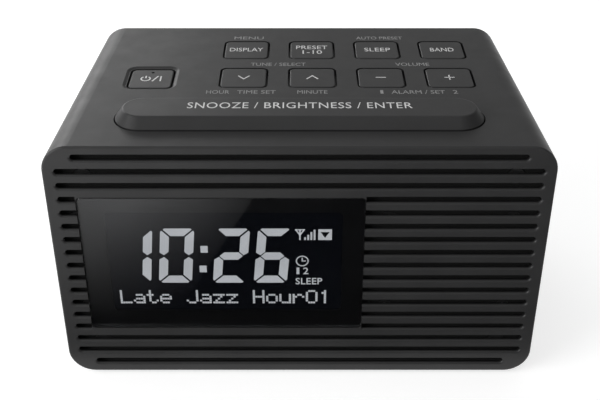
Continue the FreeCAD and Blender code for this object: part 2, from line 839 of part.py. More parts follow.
def make_speaker_frame():
    flange_back = speaker_front + flange_thickness
    frame = turned(
        [
            (surround_outer, speaker_front),
            (speaker_radius, speaker_front),
            (speaker_radius, flange_back),
            (surround_outer + basket_wall, flange_back),
            (basket_neck, basket_rear - basket_wall),
            (basket_neck, basket_rear),
            (gap_radius + 0.7, basket_rear),
            (gap_radius + 0.7, basket_rear - basket_wall),
            (basket_neck - basket_wall, basket_rear - basket_wall),
            (surround_outer - 1.2, speaker_seat),
            (surround_outer, speaker_seat),
        ],
        speaker_x, speaker_z,
    )
    windows = []
    for i in range(4):
        hole = Part.makeCylinder(4.6, speaker_radius, V(0, speaker_front + 8.2, 0), ACROSS)
        hole.rotate(V(0, 0, 0), BACK, 45 + 90 * i)
        hole.translate(V(speaker_x, 0, speaker_z))
        windows.append(hole)
    return frame.cut(windows)


def make_top_plate():
    y0 = basket_rear + 0.02
    return tube(speaker_x, speaker_z, y0, y0 + top_plate_thickness, magnet_radius - 1, gap_radius)


top_plate_back = basket_rear + 0.02 + top_plate_thickness
magnet_back = top_plate_back + 0.02 + magnet_length


def make_magnet():
    return tube(speaker_x, speaker_z, top_plate_back + 0.02, magnet_back, magnet_radius, magnet_inner)


def make_yoke():
    y0 = magnet_back + 0.02
    back = lengthwise(speaker_x, speaker_z, y0, y0 + yoke_thickness, magnet_radius - 1)
    pole = lengthwise(speaker_x, speaker_z, basket_rear, y0, pole_radius)
    return join([back, pole])


def make_cone():
    slope = (cone_rear - cone_front) / (surround_inner - cone_neck)
    rim = surround_inner + 1.0
    return turned(
        [
            (cone_neck, cone_rear),
            (surround_inner, cone_front + paper * slope),
            (rim, cone_front + paper * slope),
            (rim, cone_front + paper * slope + paper),
            (surround_inner, cone_front + paper * slope + paper),
            (cone_neck, cone_rear + paper),
        ],
        speaker_x, speaker_z,
    )


def make_surround():
    """Half roll between the cone's rim and the frame's seat."""
    inner = surround_inner + 0.1
    outer = surround_outer - 0.1
    lip = 0.8
    roll_centre = (inner + outer) / 2
    roll_radius = (outer - inner) / 2 - lip
    skin = surround_skin
    face_y = surround_front
    steps = 12
    front = [(inner, face_y)]
    back = []
    for i in range(steps + 1):
        turn = math.pi - math.pi * i / steps
        front.append((roll_centre + roll_radius * math.cos(turn),
                      face_y - roll_radius * 0.85 * math.sin(turn)))
        back.append((roll_centre + (roll_radius - skin) * math.cos(math.pi - turn),
                     face_y + skin - roll_radius * 0.85 * math.sin(turn)))
    front.append((outer, face_y))
    back_edge = [(outer, face_y + skin)] + back + [(inner, face_y + skin)]
    return turned(front + back_edge, speaker_x, speaker_z)


def make_spider():
    """Corrugated disc between the coil and the basket."""
    inner = coil_inner + coil_former + 0.1
    middle_y = basket_rear - 3.4
    outer = basket_neck + 0.5
    waves = 6
    skin = 0.3
    front = []
    back = []
    for i in range(waves * 2 + 1):
        radius = inner + (outer - inner) * i / (waves * 2)
        offset = 0.3 if i % 2 else -0.3
        front.append((radius, middle_y + offset))
        back.append((radius, middle_y + offset + skin))
    return turned(front + back[::-1], speaker_x, speaker_z)


def make_voice_coil():
    y0 = cone_rear + paper + 0.1
    former = tube(speaker_x, speaker_z, y0, basket_rear + top_plate_thickness + 1.5,
                  coil_inner + coil_former, coil_inner)
    winding = tube(speaker_x, speaker_z, basket_rear - 0.5, basket_rear + top_plate_thickness + 1.0,
                   coil_inner + coil_former + coil_winding, coil_inner)
    return join([former, winding])


def make_dust_cap():
    """Shallow dome over the cone's neck."""
    rim = 9.0
    slope = (cone_rear - cone_front) / (surround_inner - cone_neck)
    rim_y = cone_rear - (rim - cone_neck) * slope - 0.25
    rise = 3.0
    sphere = (rim * rim + rise * rise) / (2 * rise)
    steps = 8
    front = []
    back = []
    for i in range(steps + 1):
        radius = rim * i / steps
        drop = sphere - math.sqrt(sphere * sphere - radius * radius)
        front.append((radius, rim_y - rise + drop))
        back.append((radius, rim_y - rise + drop + 0.4 * (1 - 0.5 * i / steps)))
    return turned(front + back[::-1], speaker_x, speaker_z)


def make_cloth():
    y0 = panel_y + seat_gap
    inset = wall + fit_gap + panel_lip_wall + fit_gap
    cloth = cabinet_block(y0, y0 + cloth_thickness, inset)
    gap = 0.6
    cutters = [
        box(lcd_left - holder_border - gap, lcd_right + holder_border + gap, y0 - 1, y0 + 2,
            lcd_bottom - holder_border - gap, lcd_top + holder_border + gap)
    ]
    for x, z in display_post_spots + speaker_post_spots:
        cutters.append(lengthwise(x, z, y0 - 1, y0 + 2, post_radius + fit_gap))
    for x, z in case_screw_spots:
        cutters.append(lengthwise(x, z, y0 - 1, y0 + 2, boss_radius + fit_gap))
    return cloth.cut(cutters)


save("speaker_frame", make_speaker_frame())
save("speaker_top_plate", make_top_plate())
save("speaker_magnet", make_magnet())
save("speaker_yoke", make_yoke())
save("speaker_cone", make_cone())
save("speaker_surround", make_surround())
save("speaker_spider", make_spider())
save("voice_coil", make_voice_coil())
save("dust_cap", make_dust_cap())
save("speaker_cloth", make_cloth())


# ---- keys, their switches and the key board ----
def make_key(x, y, width, depth, top, roof):
    """Cap, retaining flange under the roof, and a stem down to the switch."""
    flange_z = roof - seat_gap
    cap = slab(x, y, width - key_gap * 2, depth - key_gap * 2, key_corner - key_gap,
               flange_z - key_flange, top)
    cap = cap.makeFillet(key_edge, edges_at_height(cap, top))
    flange = slab(x, y, width + key_flange_over * 2, depth + key_flange_over * 2, key_corner,
                  flange_z - key_flange, flange_z)
    stem = upright(x, y, plunger_top + 0.02, flange_z - key_flange / 2, key_stem_radius)
    return join([cap, flange, stem])


for name, (key_x, key_y) in small_keys.items():
    save(name, make_key(key_x, key_y, key_width, key_depth, body_top + key_proud, roof_z))

power_key = make_key(power_x, power_y, power_width, power_depth,
                     body_top - power_recess + key_proud, roof_z - power_recess)
lamp_hole = upright(power_x, power_y + power_lamp_y, body_top - power_recess - 0.5, body_top,
                    power_lamp_radius)
save("power_button", power_key.cut(lamp_hole))


def make_snooze_bar():
    half_length = snooze_half_length - snooze_gap
    half_depth = snooze_half_depth - snooze_gap
    top = body_top + snooze_rise
    top_y = snooze_y + snooze_top_shift
    step_z = body_top + snooze_step
    slope = Part.makeLoft(
        [
            stadium(half_length, half_depth, snooze_y, step_z),
            stadium(snooze_top_half_length, snooze_top_half_depth, top_y, top),
        ],
        True, True,
    )
    slope = slope.makeFillet(snooze_edge, edges_at_height(slope, top))
    band = stadium_block(half_length, half_depth, snooze_y, flange_top - key_flange, step_z)
    flange = stadium_block(snooze_half_length + key_flange_over, snooze_half_depth + key_flange_over,
                           snooze_y, flange_top - key_flange, flange_top)
    hollow = stadium_block(half_length - wall, half_depth - wall, snooze_y,
                           flange_top - key_flange - 1, body_top)
    bar = join([slope, band, flange]).cut(hollow)
    stem = upright(0, snooze_y, plunger_top + 0.02, body_top + 0.5, key_stem_radius)
    posts = []
    for side in (-1, 1):
        spring_seat = flange_top - key_flange
        posts.append(upright(side * spring_x, snooze_y, spring_seat, body_top + 0.5,
                             spring_radius + spring_wire))
        posts.append(upright(side * spring_x, snooze_y, spring_seat - spring_post_length,
                             spring_seat + 0.5, spring_post_radius))
    return join([bar, stem] + posts)


save("snooze_bar", make_snooze_bar())


def make_snooze_springs():
    springs = []
    z0 = key_board_top + spring_wire + 0.05
    z1 = flange_top - key_flange - spring_wire - 0.05
    for side in (-1, 1):
        helix = Part.makeHelix((z1 - z0) / spring_turns, z1 - z0, spring_radius)
        section = Part.Wire(Part.makeCircle(spring_wire, V(spring_radius, 0, 0), BACK))
        spring = Part.Wire(helix.Edges).makePipeShell([section], True, True)
        spring.translate(V(side * spring_x, snooze_y, z0))
        springs.append(spring)
    return Part.makeCompound(springs)


def make_switch_bodies():
    bodies = []
    for x, y in switch_spots.values():
        half = switch_side / 2
        body = box(x - half, x + half, y - half, y + half, key_board_top + 0.02,
                   key_board_top + switch_height)
        bore = upright(x, y, key_board_top + 0.5, key_board_top + switch_height + 1,
                       plunger_radius + plunger_clearance)
        bodies.append(body.cut(bore))
    return Part.makeCompound(bodies)


def make_key_board():
    board = box(-key_board_half_length, key_board_half_length, key_board_front, key_board_back,
                key_board_top - board_thickness, key_board_top)
    holes = [pass_hole(V(x, y, key_board_top + 1), UP, board_thickness + 2)
             for x, y in key_board_posts]
    return board.cut(holes)


for name, (key_x, key_y) in switch_spots.items():
    plunger = upright(key_x, key_y, plunger_top - plunger_length, plunger_top, plunger_radius)
    save(name.replace("_button", "").replace("_bar", "") + "_plunger",
         plunger.makeFillet(0.3, edges_at_height(plunger, plunger_top)))

save("snooze_springs", make_snooze_springs())
save("switch_bodies", make_switch_bodies())
save("key_board", make_key_board())


# ---- main board and its components ----
board_top = main_board_z + board_thickness
on_board = board_top + 0.02


def make_main_board():
    board = box(main_board_left, main_board_right, main_board_front, main_board_back,
                main_board_z, board_top)
    holes = [pass_hole(V(x, y, board_top + 1), UP, board_thickness + 2) for x, y in main_board_spots]
    return board.cut(holes)


def make_tuner_can():
    x0 = main_board_left + main_board_inset * 2
    x1 = x0 + 34.0
    y1 = main_board_back - main_board_inset * 2
    y0 = y1 - 28.0
    height = 7.5
    skin = 0.4
    can = box(x0, x1, y0, y1, on_board, on_board + height)
    can = can.cut(box(x0 + skin, x1 - skin, y0 + skin, y1 - skin, on_board - 1, on_board + height - skin))
    holes = [upright(x0 + 6 + i * 5.5, (y0 + y1) / 2, on_board, on_board + height + 1, 0.9)
             for i in range(5)]
    return can.cut(holes)


def make_chips():
    chips = []
    for ahead, y, width, depth in ((44.0, 8.0, 14.0, 14.0), (40.0, -18.0, 10.0, 6.0), (16.0, 4.0, 7.0, 5.0)):
        x = main_board_right - ahead
        chips.append(box(x - width / 2, x + width / 2, y - depth / 2, y + depth / 2,
                         on_board, on_board + 1.6))
    return Part.makeCompound(chips)


def make_capacitors():
    cans = []
    for ahead, y, radius, height in (
        (15.0, 20.0, 6.25, 20.0), (28.0, 24.0, 5.0, 14.0), (60.0, -14.0, 4.0, 11.0),
        (74.0, -16.0, 4.0, 11.0), (10.0, -10.0, 3.2, 9.0),
    ):
        x = main_board_right - ahead
        can = upright(x, y, on_board, on_board + height, radius)
        can = can.makeFillet(0.6, edges_at_height(can, on_board + height))
        cross = [
            box(x - radius * 0.7, x + radius * 0.7, y - 0.2, y + 0.2,
                on_board + height - 0.3, on_board + height + 1),
            box(x - 0.2, x + 0.2, y - radius * 0.7, y + radius * 0.7,
                on_board + height - 0.3, on_board + height + 1),
        ]
        cans.append(can.cut(cross))
    return Part.makeCompound(cans)


save("main_board", make_main_board())
save("tuner_can", make_tuner_can())
save("board_chips", make_chips())
save("board_capacitors", make_capacitors())


# ---- mains transformer ----
core_top = core_z + core_height
window_half = (core_width - core_leg) / 2 - core_yoke


def make_core():
    half = core_width / 2
    y0 = core_y - core_stack / 2
    y1 = core_y + core_stack / 2
    core = box(core_x - half, core_x + half, y0, y1, core_z, core_top)
    windows = []
    for side in (-1, 1):
        a = core_x + side * core_leg / 2
        b = core_x + side * (core_leg / 2 + window_half)
        windows.append(box(min(a, b), max(a, b), y0 - 1, y1 + 1, core_z + core_yoke, core_top - core_yoke))
    ears = box(core_x - half - core_ear, core_x + half + core_ear,
               core_y - core_ear_depth / 2, core_y + core_ear_depth / 2, core_z,
               core_z + core_ear_thickness)
    core = join([core.cut(windows), ears])
    holes = [pass_hole(V(x, y, core_z - 1), UP * -1, core_ear_thickness + 2)
             for x, y in core_screw_spots]
    return core.cut(holes)


def make_bobbin():
    """Coil former with its winding, round the core's middle leg."""
    half = core_leg / 2
    reach = half + window_half - fit_gap
    y_reach = core_stack / 2 + window_half
    z0 = core_z + core_yoke + fit_gap
    z1 = core_top - core_yoke - fit_gap
    cheek = 1.0
    blocks = [
        box(core_x - reach, core_x + reach, core_y - y_reach, core_y + y_reach, z0, z0 + cheek),
        box(core_x - reach, core_x + reach, core_y - y_reach, core_y + y_reach, z1 - cheek, z1),
        slab(core_x, core_y, reach * 2 - 1.4, y_reach * 2 - 1.4, 3.0, z0 + cheek / 2, z1 - cheek / 2),
    ]
    leg = box(core_x - half - fit_gap, core_x + half + fit_gap, core_y - core_stack / 2 - fit_gap,
              core_y + core_stack / 2 + fit_gap, z0 - 1, z1 + 1)
    return join(blocks).cut(leg)


save("transformer_core", make_core())
save("transformer_bobbin", make_bobbin())


# ---- sockets at the rear ----
def make_mains_inlet():
    half_w = inlet_body_width / 2
    half_h = inlet_body_height / 2
    body = plate(inlet_x - half_w, inlet_x + half_w, inlet_z - half_h, inlet_z + half_h,
                 window_corner, rear_face_y - inlet_body_depth, rear_face_y)
    flange = plate(inlet_x - half_w - inlet_flange, inlet_x + half_w + inlet_flange,
                   inlet_z - half_h - inlet_flange, inlet_z + half_h + inlet_flange, window_corner,
                   rear_inner_y - seat_gap - inlet_flange_thickness, rear_inner_y - seat_gap)
    cutters = [inlet_socket(rear_face_y - inlet_socket_depth, rear_face_y + 1, 0)]
    for side in (-1, 1):
        cutters.append(lengthwise(inlet_x + side * inlet_pin_spacing / 2, inlet_z,
                                  rear_face_y - inlet_body_depth - 1, rear_face_y,
                                  inlet_tail_radius + 0.02))
    return join([body, flange]).cut(cutters)


def make_inlet_pins():
    pins = []
    root = rear_face_y - inlet_socket_depth + 0.02
    tip = root + inlet_pin_reach
    for side in (-1, 1):
        x = inlet_x + side * inlet_pin_spacing / 2
        pin = lengthwise(x, inlet_z, root, tip, inlet_pin_radius)
        pin = pin.makeFillet(0.6, edges_at_depth(pin, tip))
        tail = lengthwise(x, inlet_z, rear_face_y - inlet_body_depth - 4, root, inlet_tail_radius)
        pins.append(join([pin, tail]))
    return Part.makeCompound(pins)


def make_antenna_socket():
    floor_y = rear_face_y - aerial_pocket_depth
    barrel = lengthwise(aerial_x, aerial_z, floor_y - pocket_wall - 4, floor_y + aerial_length,
                        aerial_radius)
    nut = Part.Face(Part.makePolygon([
        V(aerial_x + 7.0 * math.cos(math.radians(60 * i)), floor_y + 0.05,
          aerial_z + 7.0 * math.sin(math.radians(60 * i)))
        for i in range(7)
    ])).extrude(V(0, 2.0, 0))
    collar = lengthwise(aerial_x, aerial_z, floor_y - pocket_wall - 2.05,
                        floor_y - pocket_wall - 0.05, aerial_radius + 1.6)
    bore = lengthwise(aerial_x, aerial_z, floor_y + 1, floor_y + aerial_length + 1, aerial_bore)
    core = lengthwise(aerial_x, aerial_z, floor_y + 0.5, floor_y + aerial_length - 1.0, 1.6)
    socket = join([barrel, nut, collar]).cut(bore)
    contact = lengthwise(aerial_x, aerial_z, floor_y + 4, floor_y + aerial_length, 0.5)
    return join([socket, core]).cut(contact)


save("mains_inlet", make_mains_inlet())
save("inlet_pins", make_inlet_pins())
save("antenna_socket", make_antenna_socket())


# ---- clock back-up cell in its tray ----
cell_y = rear_face_y - tray_face_thickness - 1.2 - cell_radius - fit_gap
cell_bottom = tray_z + tray_floor


def make_tray():
    y1 = rear_face_y - tray_face_thickness + 0.01
    y0 = rear_face_y - tray_length
    tray = box(tray_x - tray_width / 2, tray_x + tray_width / 2, y0, y1, tray_z, tray_z + tray_height)
    middle_z = tray_z + tray_height / 2
    face = plate(tray_x - tray_face_width / 2, tray_x + tray_face_width / 2,
                 middle_z - tray_face_height / 2, middle_z + tray_face_height / 2, 1.0,
                 rear_face_y - tray_face_thickness, rear_face_y)
    notch = lengthwise(tray_x, middle_z + tray_face_height / 2 + 2.2, rear_face_y - 0.9,
                       rear_face_y + 1, 4.2)
    seat = upright(tray_x, cell_y, cell_bottom, tray_z + tray_height + 1, cell_radius + fit_gap)
    under = upright(tray_x, cell_y, tray_z - 1, cell_bottom + 1, cell_radius * 0.55)
    return join([tray, face]).cut([notch, seat, under])


def make_cell():
    low = cell_bottom + 0.05
    can = upright(tray_x, cell_y, low, low + cell_height, cell_radius)
    can = can.makeFillet(0.4, edges_at_height(can, low + cell_height))
    groove = upright(tray_x, cell_y, low - 1, low + 0.3, cell_radius + 1)
    groove = groove.cut(upright(tray_x, cell_y, low - 1, low + 0.3, cell_radius - 1.2))
    return can.cut(groove)


def make_contacts():
    """Two leaf contacts in the sleeve, clear of the sliding tray."""
    roof = tray_z + tray_height + fit_gap
    floor_y = rear_face_y - tray_length - 2 + pocket_wall
    leaf = 0.3
    back_leaf = box(tray_x - 8, tray_x - 4, floor_y + 0.05, floor_y + 0.05 + leaf,
                    tray_z, roof - 0.05)
    other_leaf = box(tray_x + 4, tray_x + 8, floor_y + 0.05, floor_y + 0.05 + leaf,
                     tray_z, roof - 0.05)
    return Part.makeCompound([back_leaf, other_leaf])


save("battery_tray", make_tray())
save("backup_cell", make_cell())
save("cell_contacts", make_contacts())


# ---- screws ----
def make_casing_screws():
    screws = []
    for x, z in case_screw_spots:
        tip = V(x, case_screw_tip, z)
        length = front_lug_y + lug_thickness + seat_gap - case_screw_tip
        screws.append(screw(tip, BACK * -1, length))
    for x, z in rear_screw_spots:
        seat = rear_face_y - head_height * 0.6 + 0.05
        screws.append(screw(V(x, rear_screw_tip, z), BACK * -1, seat - rear_screw_tip))
    for x, y in base_screw_spots:
        tip_z = floor_z + ear_height - 1
        seat = body_bottom + head_height * 0.8 - 0.05
        screws.append(screw(V(x, y, tip_z), UP, tip_z - seat))
    return Part.makeCompound(screws)


def make_internal_screws():
    screws = []
    for x, y in key_board_posts:
        tip = V(x, y, key_board_top + 7)
        screws.append(screw(tip, UP, 7 + board_thickness + 0.05))
    for x, y in main_board_spots:
        tip = V(x, y, main_board_z - 8)
        screws.append(screw(tip, UP * -1, 8 + board_thickness + 0.05))
    for x, y in core_screw_spots:
        tip_z = floor_z + 0.8
        screws.append(screw(V(x, y, tip_z), UP * -1, core_z + core_ear_thickness + 0.05 - tip_z))
    for x, z in display_post_spots:
        tip = V(x, panel_y + 2, z)
        screws.append(screw(tip, BACK * -1, display_board_y + board_thickness + 0.05 - panel_y - 2))
    for x, z in speaker_post_spots:
        tip_y = front_y + 1.5
        seat = speaker_front + flange_thickness + 0.1
        one = screw(V(x, tip_y, z), BACK * -1, seat + 0.5 - tip_y)
        washer = tube(x, z, seat, seat + 0.5, 4.6, screw_radius - 0.1)
        screws.append(join([one, washer]))
    return Part.makeCompound(screws)


save("casing_screws", make_casing_screws())
save("internal_screws", make_internal_screws())


# ---- wiring inside ----
def make_speaker_wires():
    wire_radius = 0.6
    wires = []
    for shift in (0.0, 2.0):
        route = [
            V(50.0, -30.0 + shift, speaker_z - basket_neck - 1.5),
            V(48.0, -27.5 + shift, 28.0),
            V(34.0, -24.0 + shift, 22.0),
            V(14.0, -22.0 + shift, on_board + wire_radius),
        ]
        path = rounded_path(route, 5.0)
        ahead = V(route[1] - route[0]).normalize()
        section = Part.Wire(Part.makeCircle(wire_radius, route[0], ahead))
        wires.append(path.makePipeShell([section], True, False))
    return Part.makeCompound(wires)


def make_ribbon():
    """Flat cable from the key board down to the main board."""
    x = main_board_left + 46.0
    width = 14.0
    thickness = 0.6
    route = [
        V(x, 30.0, key_board_top - board_thickness - 0.05),
        V(x, 31.5, 76.0),
        V(x, 28.5, 48.0),
        V(x, 31.0, on_board),
    ]
    path = rounded_path(route, 20.0)
    z = route[0].z
    y0 = route[0].y - thickness / 2
    y1 = route[0].y + thickness / 2
    corners = [V(x, y0, z), V(x + width, y0, z), V(x + width, y1, z), V(x, y1, z)]
    section = Part.makePolygon(corners + corners[:1])
    return path.makePipeShell([section], True, False)


save("speaker_wires", make_speaker_wires())
save("board_ribbon", make_ribbon())
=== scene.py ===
import math

import bmesh
import bpy
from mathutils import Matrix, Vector


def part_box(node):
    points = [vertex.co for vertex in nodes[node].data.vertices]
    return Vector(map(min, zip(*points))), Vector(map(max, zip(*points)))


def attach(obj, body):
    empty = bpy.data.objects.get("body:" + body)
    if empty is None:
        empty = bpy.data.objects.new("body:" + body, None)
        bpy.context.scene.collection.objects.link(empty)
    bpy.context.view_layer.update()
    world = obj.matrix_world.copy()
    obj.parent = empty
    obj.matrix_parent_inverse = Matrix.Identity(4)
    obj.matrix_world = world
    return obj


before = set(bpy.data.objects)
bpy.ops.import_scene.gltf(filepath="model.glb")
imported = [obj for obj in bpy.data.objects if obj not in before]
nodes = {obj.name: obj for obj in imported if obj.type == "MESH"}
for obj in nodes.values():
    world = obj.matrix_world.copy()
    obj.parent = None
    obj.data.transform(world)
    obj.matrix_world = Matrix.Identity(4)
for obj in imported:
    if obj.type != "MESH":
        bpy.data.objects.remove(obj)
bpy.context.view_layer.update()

# Tabletop clock radio: materials, lit display, printed lettering, studio light and camera.
# Lengths are in metres in the CAD frame; MM turns millimetres into metres.

MM = 0.001

# ---------------------------------------------------------------- driving sizes

INK = 0.02 * MM                  # height of printed ink over its surface
SINK = 0.01 * MM                 # how far ink and lit film reach into what carries them

roof_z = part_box("cabinet_shell")[1].z
key_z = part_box("display_button")[1].z
power_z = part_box("power_button")[1].z
snooze_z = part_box("snooze_bar")[1].z
lcd_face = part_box("lcd_panel")[0].y

# ---------------------------------------------------------------- node helpers


def new_material(name):
    """An empty node material with its Principled shader, returned with its node tree."""
    material = bpy.data.materials.new(name)
    material.use_nodes = True
    tree = material.node_tree
    shader = tree.nodes["Principled BSDF"]
    return material, tree, shader


def spot(tree, scale=(1, 1, 1)):
    """Object coordinates in metres, stretched by scale."""
    coordinates = tree.nodes.new("ShaderNodeTexCoord")
    mapping = tree.nodes.new("ShaderNodeMapping")
    mapping.inputs["Scale"].default_value = scale
    tree.links.new(coordinates.outputs["Object"], mapping.inputs["Vector"])
    return mapping.outputs["Vector"]


def noise(tree, size, detail=2.0, stretch=(1, 1, 1)):
    """Noise whose grains measure about size metres."""
    texture = tree.nodes.new("ShaderNodeTexNoise")
    texture.inputs["Scale"].default_value = 1 / size
    texture.inputs["Detail"].default_value = detail
    tree.links.new(spot(tree, stretch), texture.inputs["Vector"])
    return texture.outputs["Fac"]


def waves(tree, pitch, axis, distortion):
    """Parallel bands at the given pitch in metres, across the named axis."""
    texture = tree.nodes.new("ShaderNodeTexWave")
    texture.wave_type = "BANDS"
    texture.bands_direction = axis
    texture.wave_profile = "SIN"
    texture.inputs["Scale"].default_value = 0.314 / pitch
    texture.inputs["Distortion"].default_value = distortion
    tree.links.new(spot(tree), texture.inputs["Vector"])
    return texture.outputs["Fac"]


def ranged(tree, value, low, high, start=0.3, end=0.7):
    """Turns a texture value between start and end into low to high."""
    node = tree.nodes.new("ShaderNodeMapRange")
    node.inputs["From Min"].default_value = start
    node.inputs["From Max"].default_value = end
    node.inputs["To Min"].default_value = low
    node.inputs["To Max"].default_value = high
    tree.links.new(value, node.inputs["Value"])
    return node.outputs["Result"]


def blended(tree, value, first, second, start=0.3, end=0.7):
    """A colour ramp between two colours, driven by a texture value."""
    ramp = tree.nodes.new("ShaderNodeValToRGB")
    ramp.color_ramp.elements[0].position = start
    ramp.color_ramp.elements[1].position = end
    ramp.color_ramp.elements[0].color = (*first, 1)
    ramp.color_ramp.elements[1].color = (*second, 1)
    tree.links.new(value, ramp.inputs["Fac"])
    return ramp.outputs["Color"]


def bumped(tree, shader, value, depth, strength=1.0):
    """Raises the surface by value times depth metres."""
    bump = tree.nodes.new("ShaderNodeBump")
    bump.inputs["Distance"].default_value = depth
    bump.inputs["Strength"].default_value = strength
    tree.links.new(value, bump.inputs["Height"])
    tree.links.new(bump.outputs["Normal"], shader.inputs["Normal"])


def scaled(colour, factor):
    return tuple(channel * factor for channel in colour)


# ---------------------------------------------------------------- materials


def moulded(name, colour, roughness, grain=0.25 * MM, depth=0.008 * MM, mottle=0.10, specular=0.35):
    """Spark-eroded moulded plastic: fine grain, slow changes of tone and of gloss."""
    material, tree, shader = new_material(name)
    tone = noise(tree, 18 * MM, 3.0)
    fine = noise(tree, grain, 2.0)
    darker = scaled(colour, 1 - mottle)
    lighter = scaled(colour, 1 + mottle)
    tree.links.new(blended(tree, tone, darker, lighter), shader.inputs["Base Color"])
    gloss = noise(tree, 7 * MM, 4.0)
    smooth = ranged(tree, gloss, roughness - 0.03, roughness + 0.03)
    tree.links.new(smooth, shader.inputs["Roughness"])
    bumped(tree, shader, fine, depth)
    shader.inputs["Specular IOR Level"].default_value = specular
    return material


def metal(name, colour, roughness, stretch=(1, 1, 1), scratch=0.3 * MM):
    """Plated or ground metal with fine directional scratches."""
    material, tree, shader = new_material(name)
    lines = noise(tree, scratch, 3.0, stretch)
    cloud = noise(tree, 5 * MM, 3.0)
    tone = blended(tree, cloud, scaled(colour, 0.82), scaled(colour, 1.08))
    tree.links.new(tone, shader.inputs["Base Color"])
    tree.links.new(ranged(tree, lines, roughness - 0.08, roughness + 0.1), shader.inputs["Roughness"])
    bumped(tree, shader, lines, 0.004 * MM)
    shader.inputs["Metallic"].default_value = 1.0
    return material


def circuit_board(name):
    """Green solder mask over copper tracks on a square grid of pads."""
    material, tree, shader = new_material(name)
    cells = tree.nodes.new("ShaderNodeTexVoronoi")
    cells.distance = "MANHATTAN"
    cells.feature = "F1"
    cells.inputs["Scale"].default_value = 1 / (2.54 * MM)
    cells.inputs["Randomness"].default_value = 0.35
    tree.links.new(spot(tree), cells.inputs["Vector"])
    mask = blended(tree, cells.outputs["Distance"], (0.55, 0.5, 0.38), (0.012, 0.11, 0.05), 0.10, 0.16)
    tree.links.new(mask, shader.inputs["Base Color"])
    tracks = noise(tree, 1.6 * MM, 1.0)
    tree.links.new(ranged(tree, tracks, 0.28, 0.5, 0.47, 0.53), shader.inputs["Roughness"])
    bumped(tree, shader, tracks, 0.02 * MM)
    return material


def woven(name, colour, pitch, sheen=0.3):
    """Fine woven or felted cloth with crossing threads."""
    material, tree, shader = new_material(name)
    warp = waves(tree, pitch, "X", 0.6)
    weft = waves(tree, pitch, "Z", 0.6)
    mix = tree.nodes.new("ShaderNodeMath")
    mix.operation = "MULTIPLY"
    tree.links.new(warp, mix.inputs[0])
    tree.links.new(weft, mix.inputs[1])
    thread = mix.outputs["Value"]
    tone = blended(tree, thread, scaled(colour, 0.5), scaled(colour, 1.3), 0.0, 0.8)
    tree.links.new(tone, shader.inputs["Base Color"])
    shader.inputs["Roughness"].default_value = 0.95
    shader.inputs["Sheen Weight"].default_value = sheen
    bumped(tree, shader, thread, 0.08 * MM)
    return material


def paper(name, colour):
    """Pressed paper pulp with stray fibres."""
    material, tree, shader = new_material(name)
    fibres = noise(tree, 1.2 * MM, 8.0, (1, 1, 3))
    tone = blended(tree, fibres, scaled(colour, 0.6), scaled(colour, 1.5))
    tree.links.new(tone, shader.inputs["Base Color"])
    tree.links.new(ranged(tree, fibres, 0.78, 0.95), shader.inputs["Roughness"])
    bumped(tree, shader, fibres, 0.05 * MM)
    return material


def rubber(name, colour, roughness=0.75):
    """Matt elastomer with dusty patches."""
    material, tree, shader = new_material(name)
    dust = noise(tree, 3 * MM, 6.0)
    tree.links.new(blended(tree, dust, colour, scaled(colour, 1.5), 0.4, 0.8), shader.inputs["Base Color"])
    tree.links.new(ranged(tree, dust, roughness - 0.1, roughness + 0.1), shader.inputs["Roughness"])
    bumped(tree, shader, noise(tree, 0.2 * MM), 0.012 * MM)
    return material


def banded(name, first, second, pitch, axis, roughness, metallic=0.0, depth=0.05 * MM):
    """Stacked laminations, wound wire or wrapped tape: bands at a fixed pitch."""
    material, tree, shader = new_material(name)
    bands = waves(tree, pitch, axis, 0.15)
    tree.links.new(blended(tree, bands, first, second, 0.2, 0.8), shader.inputs["Base Color"])
    tree.links.new(ranged(tree, bands, roughness + 0.1, roughness - 0.05, 0, 1), shader.inputs["Roughness"])
    bumped(tree, shader, bands, depth)
    shader.inputs["Metallic"].default_value = metallic
    return material


def smoked_window(name):
    """Polished smoke-tinted acrylic: clear enough for the lit segments behind it."""
    material, tree, shader = new_material(name)
    haze = noise(tree, 25 * MM, 2.0)
    tree.links.new(blended(tree, haze, (0.50, 0.51, 0.53), (0.56, 0.57, 0.59)), shader.inputs["Base Color"])
    shader.inputs["Roughness"].default_value = 0.0
    shader.inputs["Transmission Weight"].default_value = 1.0
    shader.inputs["IOR"].default_value = 1.49
    return material


def lcd_glass(name):
    """Unlit display field: near black with a faint blue cast."""
    material, tree, shader = new_material(name)
    field = noise(tree, 30 * MM, 2.0)
    tone = blended(tree, field, (0.006, 0.007, 0.010), (0.010, 0.011, 0.015))
    tree.links.new(tone, shader.inputs["Base Color"])
    shader.inputs["Roughness"].default_value = 0.25
    shader.inputs["Specular IOR Level"].default_value = 0.1
    shader.inputs["Emission Color"].default_value = (0.55, 0.65, 1.0, 1)
    shader.inputs["Emission Strength"].default_value = 0.004
    return material


def lit(name, colour, strength):
    """Backlit film: an even glow with slight unevenness from the light guide."""
    material, tree, shader = new_material(name)
    glow = noise(tree, 14 * MM, 2.0)
    tree.links.new(blended(tree, glow, scaled(colour, 0.92), colour), shader.inputs["Emission Color"])
    shader.inputs["Emission Strength"].default_value = strength
    shader.inputs["Base Color"].default_value = (*scaled(colour, 0.3), 1)
    shader.inputs["Roughness"].default_value = 0.5
    return material


def ink(name, colour, roughness=0.55):
    """Pad-printed ink with a slightly uneven coat."""
    material, tree, shader = new_material(name)
    coat = noise(tree, 1.5 * MM, 4.0)
    tree.links.new(blended(tree, coat, scaled(colour, 0.9), colour), shader.inputs["Base Color"])
    tree.links.new(ranged(tree, coat, roughness - 0.05, roughness + 0.08), shader.inputs["Roughness"])
    shader.inputs["Specular IOR Level"].default_value = 0.3
    return material


CASE_BLACK = (0.024, 0.024, 0.0245)
STEEL = (0.56, 0.56, 0.55)
ZINC = (0.63, 0.63, 0.60)

